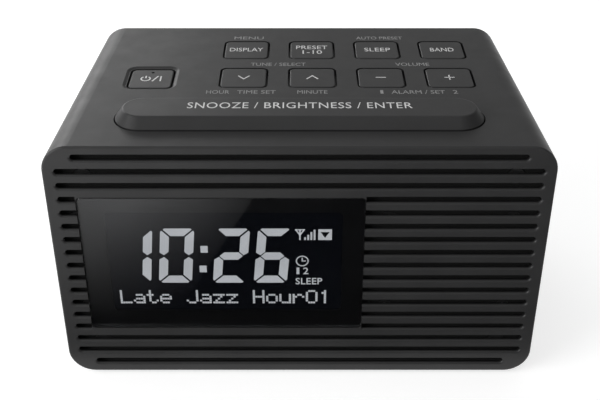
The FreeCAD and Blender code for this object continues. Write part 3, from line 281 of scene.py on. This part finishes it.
case_plastic = moulded("case_plastic", CASE_BLACK, 0.42)
front_plastic = moulded("front_plastic", CASE_BLACK, 0.42)
key_plastic = moulded("key_plastic", CASE_BLACK, 0.40)
rear_plastic = moulded("rear_plastic", CASE_BLACK, 0.5, 0.4 * MM, 0.014 * MM)
plunger_plastic = moulded("plunger_plastic", (0.03, 0.03, 0.03), 0.55)
white_plastic = moulded("white_plastic", (0.72, 0.72, 0.69), 0.5)
inlet_plastic = moulded("inlet_plastic", (0.018, 0.018, 0.018), 0.35)
window_plastic = smoked_window("window_plastic")
display_glass = lcd_glass("display_glass")
board = circuit_board("board")
spring_steel = metal("spring_steel", STEEL, 0.3)
zinc_plate = metal("zinc_plate", ZINC, 0.38)
tinplate = metal("tinplate", (0.66, 0.66, 0.65), 0.32, (1, 6, 1))
nickel = metal("nickel", (0.70, 0.69, 0.66), 0.18)
brass = metal("brass", (0.75, 0.62, 0.32), 0.3)
black_screw = metal("black_screw", (0.10, 0.10, 0.105), 0.4)
ferrite = moulded("ferrite", (0.045, 0.045, 0.05), 0.7, 0.6 * MM, 0.03 * MM, 0.2)
painted_steel = moulded("painted_steel", (0.05, 0.05, 0.05), 0.35, 0.8 * MM, 0.01 * MM)
chip_epoxy = moulded("chip_epoxy", (0.02, 0.02, 0.022), 0.6, 0.15 * MM, 0.01 * MM)
can_sleeve = banded("can_sleeve", (0.05, 0.07, 0.14), (0.07, 0.09, 0.18), 4 * MM, "X", 0.35, 0.0, 0.01 * MM)
cone_paper = paper("cone_paper", (0.03, 0.03, 0.03))
cap_paper = paper("cap_paper", (0.022, 0.022, 0.022))
surround_rubber = rubber("surround_rubber", (0.012, 0.012, 0.012), 0.6)
foot_rubber = rubber("foot_rubber", (0.02, 0.02, 0.02))
strip_rubber = rubber("strip_rubber", (0.55, 0.25, 0.30), 0.6)
wire_sleeve = rubber("wire_sleeve", (0.35, 0.02, 0.02), 0.5)
spider_cloth = woven("spider_cloth", (0.50, 0.34, 0.13), 0.5 * MM, 0.1)
grille_cloth = woven("grille_cloth", (0.006, 0.006, 0.006), 0.45 * MM, 0.0)
copper_wire = banded("copper_wire", (0.35, 0.13, 0.05), (0.80, 0.36, 0.18), 0.22 * MM, "Y", 0.3, 1.0)
laminations = banded("laminations", (0.10, 0.10, 0.11), (0.32, 0.32, 0.33), 0.5 * MM, "X", 0.4, 1.0)
winding_tape = banded("winding_tape", (0.50, 0.36, 0.06), (0.62, 0.47, 0.10), 6 * MM, "Z", 0.35, 0.0,
                      0.02 * MM)
flat_cable = banded("flat_cable", (0.42, 0.42, 0.44), (0.66, 0.66, 0.67), 1.27 * MM, "X", 0.45)
clear_guide = moulded("clear_guide", (0.80, 0.82, 0.85), 0.15, 2 * MM, 0.002 * MM, 0.02)
white_ink = ink("white_ink", (0.70, 0.70, 0.70))
grey_ink = ink("grey_ink", (0.30, 0.30, 0.30))
segment_light = lit("segment_light", (0.96, 0.98, 1.0), 0.8)

node_materials = {
    "cabinet_shell": case_plastic,
    "front_panel": front_plastic,
    "rear_cover": rear_plastic,
    "base_cover": rear_plastic,
    "display_window": window_plastic,
    "display_holder": white_plastic,
    "lcd_panel": display_glass,
    "light_guide": clear_guide,
    "display_board": board,
    "zebra_strip": strip_rubber,
    "speaker_frame": painted_steel,
    "speaker_magnet": ferrite,
    "speaker_top_plate": zinc_plate,
    "speaker_yoke": zinc_plate,
    "speaker_cone": cone_paper,
    "speaker_surround": surround_rubber,
    "speaker_spider": spider_cloth,
    "voice_coil": copper_wire,
    "dust_cap": cap_paper,
    "speaker_cloth": grille_cloth,
    "main_board": board,
    "tuner_can": tinplate,
    "board_chips": chip_epoxy,
    "board_capacitors": can_sleeve,
    "transformer_core": laminations,
    "transformer_bobbin": winding_tape,
    "mains_inlet": inlet_plastic,
    "inlet_pins": brass,
    "antenna_socket": nickel,
    "key_board": board,
    "switch_bodies": chip_epoxy,
    "snooze_springs": spring_steel,
    "cell_contacts": spring_steel,
    "battery_tray": rear_plastic,
    "backup_cell": nickel,
    "rubber_feet": foot_rubber,
    "casing_screws": black_screw,
    "internal_screws": zinc_plate,
    "speaker_wires": wire_sleeve,
    "board_ribbon": flat_cable,
    "snooze_bar": key_plastic,
    "snooze_plunger": plunger_plastic,
}

for node_name, node in nodes.items():
    if node_name.endswith("_button"):
        finish = key_plastic
    elif node_name.endswith("_plunger"):
        finish = plunger_plastic
    else:
        finish = node_materials[node_name]
    if not node.material_slots:
        node.data.materials.append(finish)
    for material_slot in node.material_slots:
        material_slot.material = finish

# ---------------------------------------------------------------- flat shapes


def bar(x0, y0, x1, y1):
    """A rectangle as a corner list."""
    return [(x0, y0), (x1, y0), (x1, y1), (x0, y1)]


def arc(radius, start, end, centre=(0, 0), steps=28):
    """Points along an arc, angles in degrees."""
    turn = [math.radians(start + (end - start) * n / steps) for n in range(steps + 1)]
    return [(centre[0] + radius * math.cos(a), centre[1] + radius * math.sin(a)) for a in turn]


def stroke(points, width, closed=False):
    """Outlines of a line of the given width along the points: one quad per run, mitred."""
    half = width / 2
    count = len(points)
    edges = []
    for n in range(count):
        here = Vector(points[n])
        before = Vector(points[n - 1]) if n or closed else None
        after = Vector(points[(n + 1) % count]) if n < count - 1 or closed else None
        first = (here - before).normalized() if before is not None else (after - here).normalized()
        second = (after - here).normalized() if after is not None else first
        side = Vector((-first.y - second.y, first.x + second.x)).normalized()
        reach = half / max(side.dot(Vector((-first.y, first.x))), 0.35)
        edges.append((here + side * reach, here - side * reach))
    runs = count if closed else count - 1
    quads = []
    for n in range(runs):
        a, b = edges[n], edges[(n + 1) % count]
        quads.append([tuple(a[0]), tuple(a[1]), tuple(b[1]), tuple(b[0])])
    return quads


def plates(name, outlines, to_space, thickness, material, body):
    """One piece made of thin closed plates: flat outlines placed by to_space(u, v, height)."""
    mesh = bmesh.new()
    for outline in outlines:
        lower = [mesh.verts.new(to_space(u, v, -SINK)) for u, v in outline]
        upper = [mesh.verts.new(to_space(u, v, thickness)) for u, v in outline]
        mesh.faces.new(lower)
        mesh.faces.new(upper)
        for n in range(len(outline)):
            m = (n + 1) % len(outline)
            mesh.faces.new((lower[n], lower[m], upper[m], upper[n]))
    bmesh.ops.recalc_face_normals(mesh, faces=mesh.faces)
    data = bpy.data.meshes.new(name)
    mesh.to_mesh(data)
    mesh.free()
    return finish_piece(name, data, material, body)


def finish_piece(name, data, material, body):
    data.materials.append(material)
    piece = bpy.data.objects.new(name, data)
    bpy.context.scene.collection.objects.link(piece)
    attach(piece, body)
    return piece


def on_top(surface_z, centre=(0, 0)):
    """Places flat millimetre shapes on a level surface, read from the front."""
    def place(u, v, height):
        return (centre[0] * MM + u * MM, centre[1] * MM + v * MM, surface_z + height)
    return place


def on_lcd(u, v, height):
    """Places flat millimetre shapes on the face of the LCD; height comes forward."""
    return (u * MM, lcd_face - height, v * MM)


# ---------------------------------------------------------------- lettering


def lettering(name, words, low, high, surface_z, material, body, bold=0.0, to_lcd=False, gap=1.0):
    """Printed words that fill the rectangle from low to high (millimetres), as thin closed letters."""
    curve = bpy.data.curves.new(name, "FONT")
    curve.body = words
    curve.size = 1.0
    curve.offset = bold
    curve.space_character = gap
    curve.resolution_u = 3
    curve.extrude = 0.5
    text = bpy.data.objects.new(name + "_text", curve)
    bpy.context.scene.collection.objects.link(text)
    bpy.context.view_layer.update()
    graph = bpy.context.evaluated_depsgraph_get()
    data = bpy.data.meshes.new_from_object(text.evaluated_get(graph))
    bpy.data.objects.remove(text)
    bpy.data.curves.remove(curve)
    data.materials.clear()
    xs = [v.co.x for v in data.vertices]
    ys = [v.co.y for v in data.vertices]
    left, bottom = min(xs), min(ys)
    wide, tall = max(xs) - left, max(ys) - bottom
    for v in data.vertices:
        u = low[0] + (v.co.x - left) / wide * (high[0] - low[0])
        w = low[1] + (v.co.y - bottom) / tall * (high[1] - low[1])
        height = INK if v.co.z > 0 else -SINK
        v.co = on_lcd(u, w, height) if to_lcd else (u * MM, w * MM, surface_z + height)
    return finish_piece(name, data, material, body)


def around(centre_x, centre_y, width, height):
    """Low and high corners of a rectangle about a centre."""
    return (centre_x - width / 2, centre_y - height / 2), (centre_x + width / 2, centre_y + height / 2)


# ---------------------------------------------------------------- display content

DIGIT_WIDTH = 13.15
DIGIT_HEIGHT = 25.85
DIGIT_BOTTOM = 45.6
SEGMENT = 3.5                    # width of a lit segment
SEGMENT_GAP = 0.5
DIGIT_PITCH = 16.2
COLON_PITCH = 21.5               # pitch of the two digits beside the colon
MINUTE_TENS_X = -26.75           # centre of the third digit at mid height
SLANT = 0.088
CORNER_CUT = 1.3
DIGIT_MIDDLE = DIGIT_BOTTOM + DIGIT_HEIGHT / 2

# segments: a top, b upper right, c lower right, d bottom, e lower left, f upper left, g middle
LIT_SEGMENTS = {"0": "abcdef", "1": "bc", "2": "abged", "6": "acdefg"}


def segment_outline(letter):
    """Outline of one segment in a digit centred on 0, 0."""
    x, y = DIGIT_WIDTH / 2, DIGIT_HEIGHT / 2
    t, g, k = SEGMENT, SEGMENT_GAP / 2, CORNER_CUT
    if letter in "ad":
        flip = 1 if letter == "a" else -1
        outer = x - k - g
        inner = x - t - g * 2
        return [(-outer, flip * y), (outer, flip * y), (outer + k * 0.4, flip * (y - k * 0.4)),
                (inner, flip * (y - t)), (-inner, flip * (y - t)), (-outer - k * 0.4, flip * (y - k * 0.4))]
    if letter == "g":
        inner = x - t - g
        reach = inner + t / 2
        return [(-reach, 0), (-inner, t / 2), (inner, t / 2), (reach, 0), (inner, -t / 2), (-inner, -t / 2)]
    side = 1 if letter in "bc" else -1
    up = 1 if letter in "bf" else -1
    top = y - k - g
    return [(side * x, up * (t * 0.4 + g)), (side * x, up * top),
            (side * (x - k * 0.4), up * (top + k * 0.4)),
            (side * (x - t), up * (y - t - g * 2)), (side * (x - t), up * (t / 2 + g)),
            (side * (x - t * 0.5), up * g * 1.8)]


def digit(character, centre_x):
    outlines = []
    for letter in LIT_SEGMENTS[character]:
        outline = []
        for u, v in segment_outline(letter):
            outline.append((centre_x + u + v * SLANT, DIGIT_MIDDLE + v))
        outlines.append(outline)
    return outlines


def make_clock_digits():
    hour_units_x = MINUTE_TENS_X - COLON_PITCH
    outlines = digit("1", hour_units_x - DIGIT_PITCH)
    outlines += digit("0", hour_units_x)
    outlines += digit("2", MINUTE_TENS_X)
    outlines += digit("6", MINUTE_TENS_X + DIGIT_PITCH)
    colon_x = MINUTE_TENS_X - COLON_PITCH / 2
    for rise in (3.2, -6.2):
        low, high = around(colon_x + rise * SLANT, DIGIT_MIDDLE + rise, 2.8, 3.2)
        outlines.append(bar(*low, *high))
    plates("clock_digits", outlines, on_lcd, INK, segment_light, "cabinet")


# 5 by 7 dot patterns, top row first
DOTS = {
    "L": ("#    ", "#    ", "#    ", "#    ", "#    ", "#    ", "#####"),
    "J": ("    #", "    #", "    #", "    #", "    #", "#   #", " ### "),
    "H": ("#   #", "#   #", "#   #", "#####", "#   #", "#   #", "#   #"),
    "a": ("     ", "     ", " ### ", "    #", " ####", "#   #", " ####"),
    "e": ("     ", "     ", " ### ", "#   #", "#####", "#    ", " ### "),
    "o": ("     ", "     ", " ### ", "#   #", "#   #", "#   #", " ### "),
    "r": ("     ", "     ", "# ## ", "##  #", "#    ", "#    ", "#    "),
    "t": (" #   ", " #   ", "###  ", " #   ", " #   ", " #  #", "  ## "),
    "u": ("     ", "     ", "#   #", "#   #", "#   #", "#   #", " ####"),
    "z": ("     ", "     ", "#####", "   # ", "  #  ", " #   ", "#####"),
    "0": (" ### ", "#   #", "#   #", "#   #", "#   #", "#   #", " ### "),
    "1": ("  #  ", " ##  ", "  #  ", "  #  ", "  #  ", "  #  ", "  #  "),
}
TEXT_ROW = "Late Jazz Hour01"
TEXT_LEFT = -72.0
TEXT_TOP = 41.9
DOT_PITCH = 0.955
DOT_SIZE = 0.86
CHARACTER_PITCH = 5.323


def make_text_row():
    outlines = []
    for place, character in enumerate(TEXT_ROW):
        if character == " ":
            continue
        for row, pattern in enumerate(DOTS[character]):
            for column, mark in enumerate(pattern):
                if mark != "#":
                    continue
                x = TEXT_LEFT + place * CHARACTER_PITCH + column * DOT_PITCH
                y = TEXT_TOP - row * DOT_PITCH
                outlines.append(bar(x, y - DOT_SIZE, x + DOT_SIZE, y))
    plates("text_row", outlines, on_lcd, INK, segment_light, "cabinet")


ICON_LEFT = -1.7
SIGNAL_BOTTOM, SIGNAL_TOP = 66.1, 71.1
CLOCK_CENTRE = (1.05, 56.15)


def make_icons():
    mast_x = 0.15
    outlines = stroke([(ICON_LEFT + 0.1, SIGNAL_TOP), (mast_x, 68.4), (mast_x + 1.75, SIGNAL_TOP)], 0.55)
    outlines += stroke([(ICON_LEFT, SIGNAL_TOP - 0.25), (mast_x + 1.85, SIGNAL_TOP - 0.25)], 0.5)
    outlines += stroke([(mast_x, SIGNAL_BOTTOM), (mast_x, SIGNAL_TOP)], 0.6)
    bar_heights = (1.3, 2.45, 3.7, 4.8)
    for n, height in enumerate(bar_heights):
        left = 1.75 + n * 1.22
        outlines.append(bar(left, SIGNAL_BOTTOM, left + 0.75, SIGNAL_BOTTOM + height))
    # framed light box with a dark triangle that points down
    left, right = 7.2, 12.5
    middle = (left + right) / 2
    tip, base = SIGNAL_BOTTOM + 1.0, SIGNAL_TOP - 1.3
    half = 1.75
    outlines.append([(left, SIGNAL_BOTTOM), (middle, SIGNAL_BOTTOM), (middle, tip), (middle - half, base),
                     (left, base)])
    outlines.append([(middle, SIGNAL_BOTTOM), (right, SIGNAL_BOTTOM), (right, base), (middle + half, base),
                     (middle, tip)])
    outlines.append(bar(left, base, right, SIGNAL_TOP))
    # alarm clock face with its hands
    outlines += stroke(arc(2.3, 0, 360, CLOCK_CENTRE, 36)[:-1], 0.5, True)
    outlines += stroke([(CLOCK_CENTRE[0], CLOCK_CENTRE[1] + 1.6), CLOCK_CENTRE,
                        (CLOCK_CENTRE[0] + 1.4, CLOCK_CENTRE[1])], 0.5)
    plates("display_icons", outlines, on_lcd, INK, segment_light, "cabinet")


def make_display_words():
    words = (("alarm_one", "1", (-1.2, 49.8), (-0.1, 53.0)),
             ("alarm_two", "2", (1.4, 49.8), (3.5, 53.0)),
             ("sleep_word", "SLEEP", (-1.6, 44.75), (9.0, 47.95)))
    for name, text, low, high in words:
        lettering(name, text, low, high, 0, segment_light, "cabinet", 0.01, True, 1.05)


# ---------------------------------------------------------------- key legends

KEY_COLUMNS = (-23.0, 5.25, 33.5, 61.75)
BACK_ROW_Y = 30.8
FRONT_ROW_Y = 2.7
POWER_X, POWER_Y = -61.1, 2.85
LEGEND_HEIGHT = 3.7


def make_key_words():
    back = BACK_ROW_Y + 0.3
    legends = (("display", "DISPLAY", around(-23.1, back, 14.4, LEGEND_HEIGHT)),
               ("preset", "PRESET", around(5.3, back + 2.4, 13.6, LEGEND_HEIGHT)),
               ("sleep", "SLEEP", around(33.8, back, 11.2, LEGEND_HEIGHT)),
               ("band", "BAND", around(61.9, back, 10.2, LEGEND_HEIGHT)))
    for key, text, (low, high) in legends:
        lettering(key + "_legend", text, low, high, key_z, white_ink, key + "_key")
    low, high = around(5.5, back - 2.6, 8.4, LEGEND_HEIGHT)
    lettering("preset_range", "1-10", low, high, key_z, white_ink, "preset_key")


def make_key_signs():
    chevron = 2.35
    drop = 1.55
    line = 0.55
    signs = (("down", KEY_COLUMNS[0], [[(-chevron, drop), (0, -drop), (chevron, drop)]]),
             ("up", KEY_COLUMNS[1], [[(-chevron, -drop), (0, drop), (chevron, -drop)]]),
             ("volume_down", KEY_COLUMNS[2], [[(-2.1, 0), (2.1, 0)]]),
             ("volume_up", KEY_COLUMNS[3], [[(-2.1, 0), (2.1, 0)], [(0, -2.2), (0, 2.2)]]))
    for key, x, lines in signs:
        outlines = []
        for points in lines:
            outlines += stroke(points, line)
        plates(key + "_sign", outlines, on_top(key_z, (x, FRONT_ROW_Y + 0.3)), INK, white_ink, key + "_key")


def make_power_sign():
    ring, tall, line = 1.85, 1.05, 0.6
    ring_points = [(x - 2.4, y * tall) for x, y in arc(ring, 125, 415)]
    outlines = stroke(ring_points, line)
    outlines += stroke([(-2.4, 0.5), (-2.4, 2.7)], line)
    outlines += stroke([(0.5, -2.4), (2.6, 2.5)], line)
    outlines += stroke([(3.8, -2.3), (3.8, 2.4)], line)
    place = on_top(power_z, (POWER_X, POWER_Y + 0.1))
    plates("power_sign", outlines, place, INK, white_ink, "power_key")


def make_panel_labels():
    rear, middle, front = 43.9, 15.9, -10.6
    tall = 3.1
    labels = (("menu_label", "MENU", -22.5, rear, 13.0),
              ("auto_preset_label", "AUTO PRESET", 35.4, rear, 20.5),
              ("tune_label", "TUNE / SELECT", -9.0, middle, 23.2),
              ("volume_label", "VOLUME", 47.6, middle, 14.3),
              ("hour_label", "HOUR", -32.8, front, 9.3),
              ("time_set_label", "TIME SET", -17.3, front, 15.5),
              ("minute_label", "MINUTE", 5.15, front, 12.1),
              ("alarm_one_label", "1", 33.0, front, 1.2),
              ("alarm_set_label", "ALARM / SET", 47.6, front, 21.5),
              ("alarm_two_label", "2", 62.5, front, 1.9))
    for name, text, x, y, width in labels:
        low, high = around(x, y, width, tall)
        lettering(name, text, low, high, roof_z, grey_ink, "cabinet", 0.0)


def make_snooze_words():
    low, high = (-42.9, -33.4), (43.1, -28.5)
    lettering("snooze_words", "SNOOZE / BRIGHTNESS / ENTER", low, high, snooze_z, white_ink,
              "snooze_key", 0.0, False, 1.06)


make_clock_digits()
make_text_row()
make_icons()
make_display_words()
make_key_words()
make_key_signs()
make_power_sign()
make_panel_labels()
make_snooze_words()

# ---------------------------------------------------------------- studio

FLOOR_REACH = 6.0
FLOOR_GLOW = 0.66

# the two cards in front, in millimetres, seen only in reflections as painted reflections: the slanted line
# that they share, and their outer corners
CARD_LIFT = 1
CARD_BACK = -66
SLANT_LINE = [(-58, CARD_BACK), (-58, -87), (-23.6, -195.5)]
SLANT_END = (41, -400)
BLACK_CARD_RIGHT = 600
GRADED_CARD_LEFT = -125
BLACK_CARD_GLOW = 0.015
# painted reflection: the graded card glows in place of the lit floor as seen in the window and front faces
CARD_GLOW = 0.96                 # graded card, at its brightest
# painted shade: the card's fade towards the object stands in for the object's shadow on the floor, seen in
# reflections
CARD_FADE = 1.2                  # power of its fade towards the object
CARD_FADE_FAR, CARD_FADE_NEAR = -190, -85
CARD_SLANT = 0.317               # slope of the line along which it fades sideways
CARD_ASIDE_START, CARD_ASIDE_END = -149, -84
CARD_ASIDE_SHARE = 0.15          # what is left of its glow at the slanted line

ROOM_BRIGHT_SIDE = (-0.80, 0.55, 0.20)
ROOM_BRIGHT = 0.548
ROOM_DARK = 0.181
# name, place and target in metres, size in metres, power in watts
LAMPS = (("front_left_light", (-1.1, -0.7, 0.6), (0, 0, 0.08), (0.8, 0.8), 12),
         ("back_left_light", (-0.9, 1.0, 0.55), (0, 0, 0.08), (0.9, 0.6), 3.5),
         ("back_light", (-0.5, 1.3, 0.6), (0, 0, 0.08), (0.6, 0.4), 1.4),
         ("front_light", (0, -0.9, 1.4), (0, 0, 0.05), (1.2, 0.8), 0.8),
         ("top_light", (0, 0, 1.6), (0, 0, 0), (1.8, 1.8), 3.6))


def make_floor():
    """A broad pale floor, lit a little from within like a light table."""
    material, tree, shader = new_material("floor_paint")
    tone = noise(tree, 0.4, 2.0)
    tree.links.new(blended(tree, tone, (0.60, 0.60, 0.60), (0.62, 0.62, 0.62)), shader.inputs["Base Color"])
    shader.inputs["Roughness"].default_value = 0.9
    shader.inputs["Specular IOR Level"].default_value = 0.0
    shader.inputs["Emission Color"].default_value = (1, 1, 1, 1)
    shader.inputs["Emission Strength"].default_value = FLOOR_GLOW
    reach = FLOOR_REACH + 0.2
    data = bpy.data.meshes.new("floor")
    data.from_pydata([(-reach, -reach, 0), (reach, -reach, 0), (reach, reach, 0), (-reach, reach, 0)], [],
                     [(0, 1, 2, 3)])
    data.materials.append(material)
    floor = bpy.data.objects.new("floor", data)
    bpy.context.scene.collection.objects.link(floor)


def make_card(name, corners, material):
    """A card on the floor that shows only in reflections, as a painted reflection."""
    data = bpy.data.meshes.new(name)
    points = [Vector((x, y, CARD_LIFT)) * MM for x, y in corners]
    data.from_pydata(points, [], [tuple(range(len(points)))])
    data.materials.append(material)
    card = bpy.data.objects.new(name, data)
    bpy.context.scene.collection.objects.link(card)
    card.visible_camera = False
    card.visible_diffuse = False
    card.visible_shadow = False


# painted reflection: a near-black card, seen only in reflections, that darkens what the window and front faces
# reflect towards the right
def painted_dark_reflection():
    material, _, shader = new_material("black_card")
    shader.inputs["Base Color"].default_value = (0, 0, 0, 1)
    shader.inputs["Specular IOR Level"].default_value = 0.0
    shader.inputs["Emission Color"].default_value = (1, 1, 1, 1)
    shader.inputs["Emission Strength"].default_value = BLACK_CARD_GLOW
    return material


def painted_reflection_and_shade():
    """Painted reflection of the lit floor: bright far from the object, fading towards it as painted shade of
    the object's shadow on the floor, and towards the black card.
    """
    material, tree, shader = new_material("graded_card")
    shader.inputs["Base Color"].default_value = (0, 0, 0, 1)
    shader.inputs["Specular IOR Level"].default_value = 0.0
    shader.inputs["Emission Color"].default_value = (1, 1, 1, 1)
    split = tree.nodes.new("ShaderNodeSeparateXYZ")
    tree.links.new(spot(tree), split.inputs["Vector"])
    away = ranged(tree, split.outputs["Y"], 1.0, 0.0, CARD_FADE_FAR * MM, CARD_FADE_NEAR * MM)
    fade = tree.nodes.new("ShaderNodeMath")
    fade.operation = "POWER"
    fade.inputs[1].default_value = CARD_FADE
    tree.links.new(away, fade.inputs[0])
    slanted = tree.nodes.new("ShaderNodeVectorMath")
    slanted.operation = "DOT_PRODUCT"
    slanted.inputs[1].default_value = (1.0, CARD_SLANT, 0.0)
    tree.links.new(spot(tree), slanted.inputs[0])
    aside = ranged(tree, slanted.outputs["Value"], CARD_GLOW, CARD_GLOW * CARD_ASIDE_SHARE,
                   CARD_ASIDE_START * MM, CARD_ASIDE_END * MM)
    total = tree.nodes.new("ShaderNodeMath")
    total.operation = "MULTIPLY"
    tree.links.new(fade.outputs["Value"], total.inputs[0])
    tree.links.new(aside, total.inputs[1])
    tree.links.new(total.outputs["Value"], shader.inputs["Emission Strength"])
    return material


def make_backdrop():
    """A pale studio wall round the floor, seen by the camera only."""
    material, tree, shader = new_material("wall_paint")
    tone = noise(tree, 2.0, 1.0)
    colour = blended(tree, tone, (0.93, 0.93, 0.93), (0.95, 0.95, 0.95))
    tree.links.new(colour, shader.inputs["Emission Color"])
    shader.inputs["Emission Strength"].default_value = 1.0
    shader.inputs["Base Color"].default_value = (0, 0, 0, 1)
    shader.inputs["Specular IOR Level"].default_value = 0.0
    mesh = bmesh.new()
    bmesh.ops.create_cone(mesh, segments=96, radius1=FLOOR_REACH, radius2=FLOOR_REACH, depth=2 * FLOOR_REACH)
    data = bpy.data.meshes.new("backdrop")
    mesh.to_mesh(data)
    mesh.free()
    data.materials.append(material)
    wall = bpy.data.objects.new("backdrop", data)
    bpy.context.scene.collection.objects.link(wall)
    wall.visible_diffuse = False
    wall.visible_glossy = False
    wall.visible_transmission = False
    wall.visible_shadow = False


def make_light(name, place, target, size, power):
    """A soft rectangular lamp that points at target."""
    lamp = bpy.data.lights.new(name, "AREA")
    lamp.shape = "RECTANGLE"
    lamp.size, lamp.size_y = size
    lamp.energy = power
    light = bpy.data.objects.new(name, lamp)
    light.location = place
    light.rotation_euler = (Vector(target) - Vector(place)).to_track_quat("-Z", "Y").to_euler()
    light.visible_camera = False
    bpy.context.scene.collection.objects.link(light)
    return light


def make_world():
    """A pale room, brighter towards the back left."""
    world = bpy.data.worlds.new("room")
    bpy.context.scene.world = world
    world.use_nodes = True
    tree = world.node_tree
    background = tree.nodes["Background"]
    coordinates = tree.nodes.new("ShaderNodeTexCoord")
    towards = tree.nodes.new("ShaderNodeVectorMath")
    towards.operation = "DOT_PRODUCT"
    towards.inputs[1].default_value = ROOM_BRIGHT_SIDE
    tree.links.new(coordinates.outputs["Generated"], towards.inputs[0])
    share = ranged(tree, towards.outputs["Value"], 0, 1, -1, 1)
    shade = blended(tree, share, (ROOM_DARK,) * 3, (ROOM_BRIGHT,) * 3, 0.15, 0.95)
    tree.links.new(shade, background.inputs["Color"])


make_floor()
make_backdrop()
right_corners = [(BLACK_CARD_RIGHT, CARD_BACK), (BLACK_CARD_RIGHT, SLANT_END[1]), SLANT_END]
make_card("black_card", [SLANT_LINE[2], SLANT_LINE[1], SLANT_LINE[0]] + right_corners, painted_dark_reflection())
make_card("graded_card", [(GRADED_CARD_LEFT, CARD_BACK)] + SLANT_LINE + [(GRADED_CARD_LEFT, SLANT_LINE[2][1])],
          painted_reflection_and_shade())
for lamp_name, lamp_place, lamp_target, lamp_size, lamp_power in LAMPS:
    make_light(lamp_name, lamp_place, lamp_target, lamp_size, lamp_power)
make_world()

# ---------------------------------------------------------------- camera

CAMERA_PLACE = (0, -384.38, 291.07)     # millimetres
CAMERA_TILT = 58.0                      # degrees up from straight down
CAMERA_LENS = 61.885
CAMERA_SENSOR = 36.0
CAMERA_SHIFT = 0.0007

camera_data = bpy.data.cameras.new("camera")
camera_data.sensor_width = CAMERA_SENSOR
camera_data.lens = CAMERA_LENS
camera_data.shift_x = CAMERA_SHIFT
camera = bpy.data.objects.new("camera", camera_data)
camera.location = Vector(CAMERA_PLACE) * MM
camera.rotation_euler = (math.radians(CAMERA_TILT), 0, 0)
bpy.context.scene.collection.objects.link(camera)
bpy.context.scene.camera = camera
bpy.context.scene.view_settings.view_transform = "Standard"
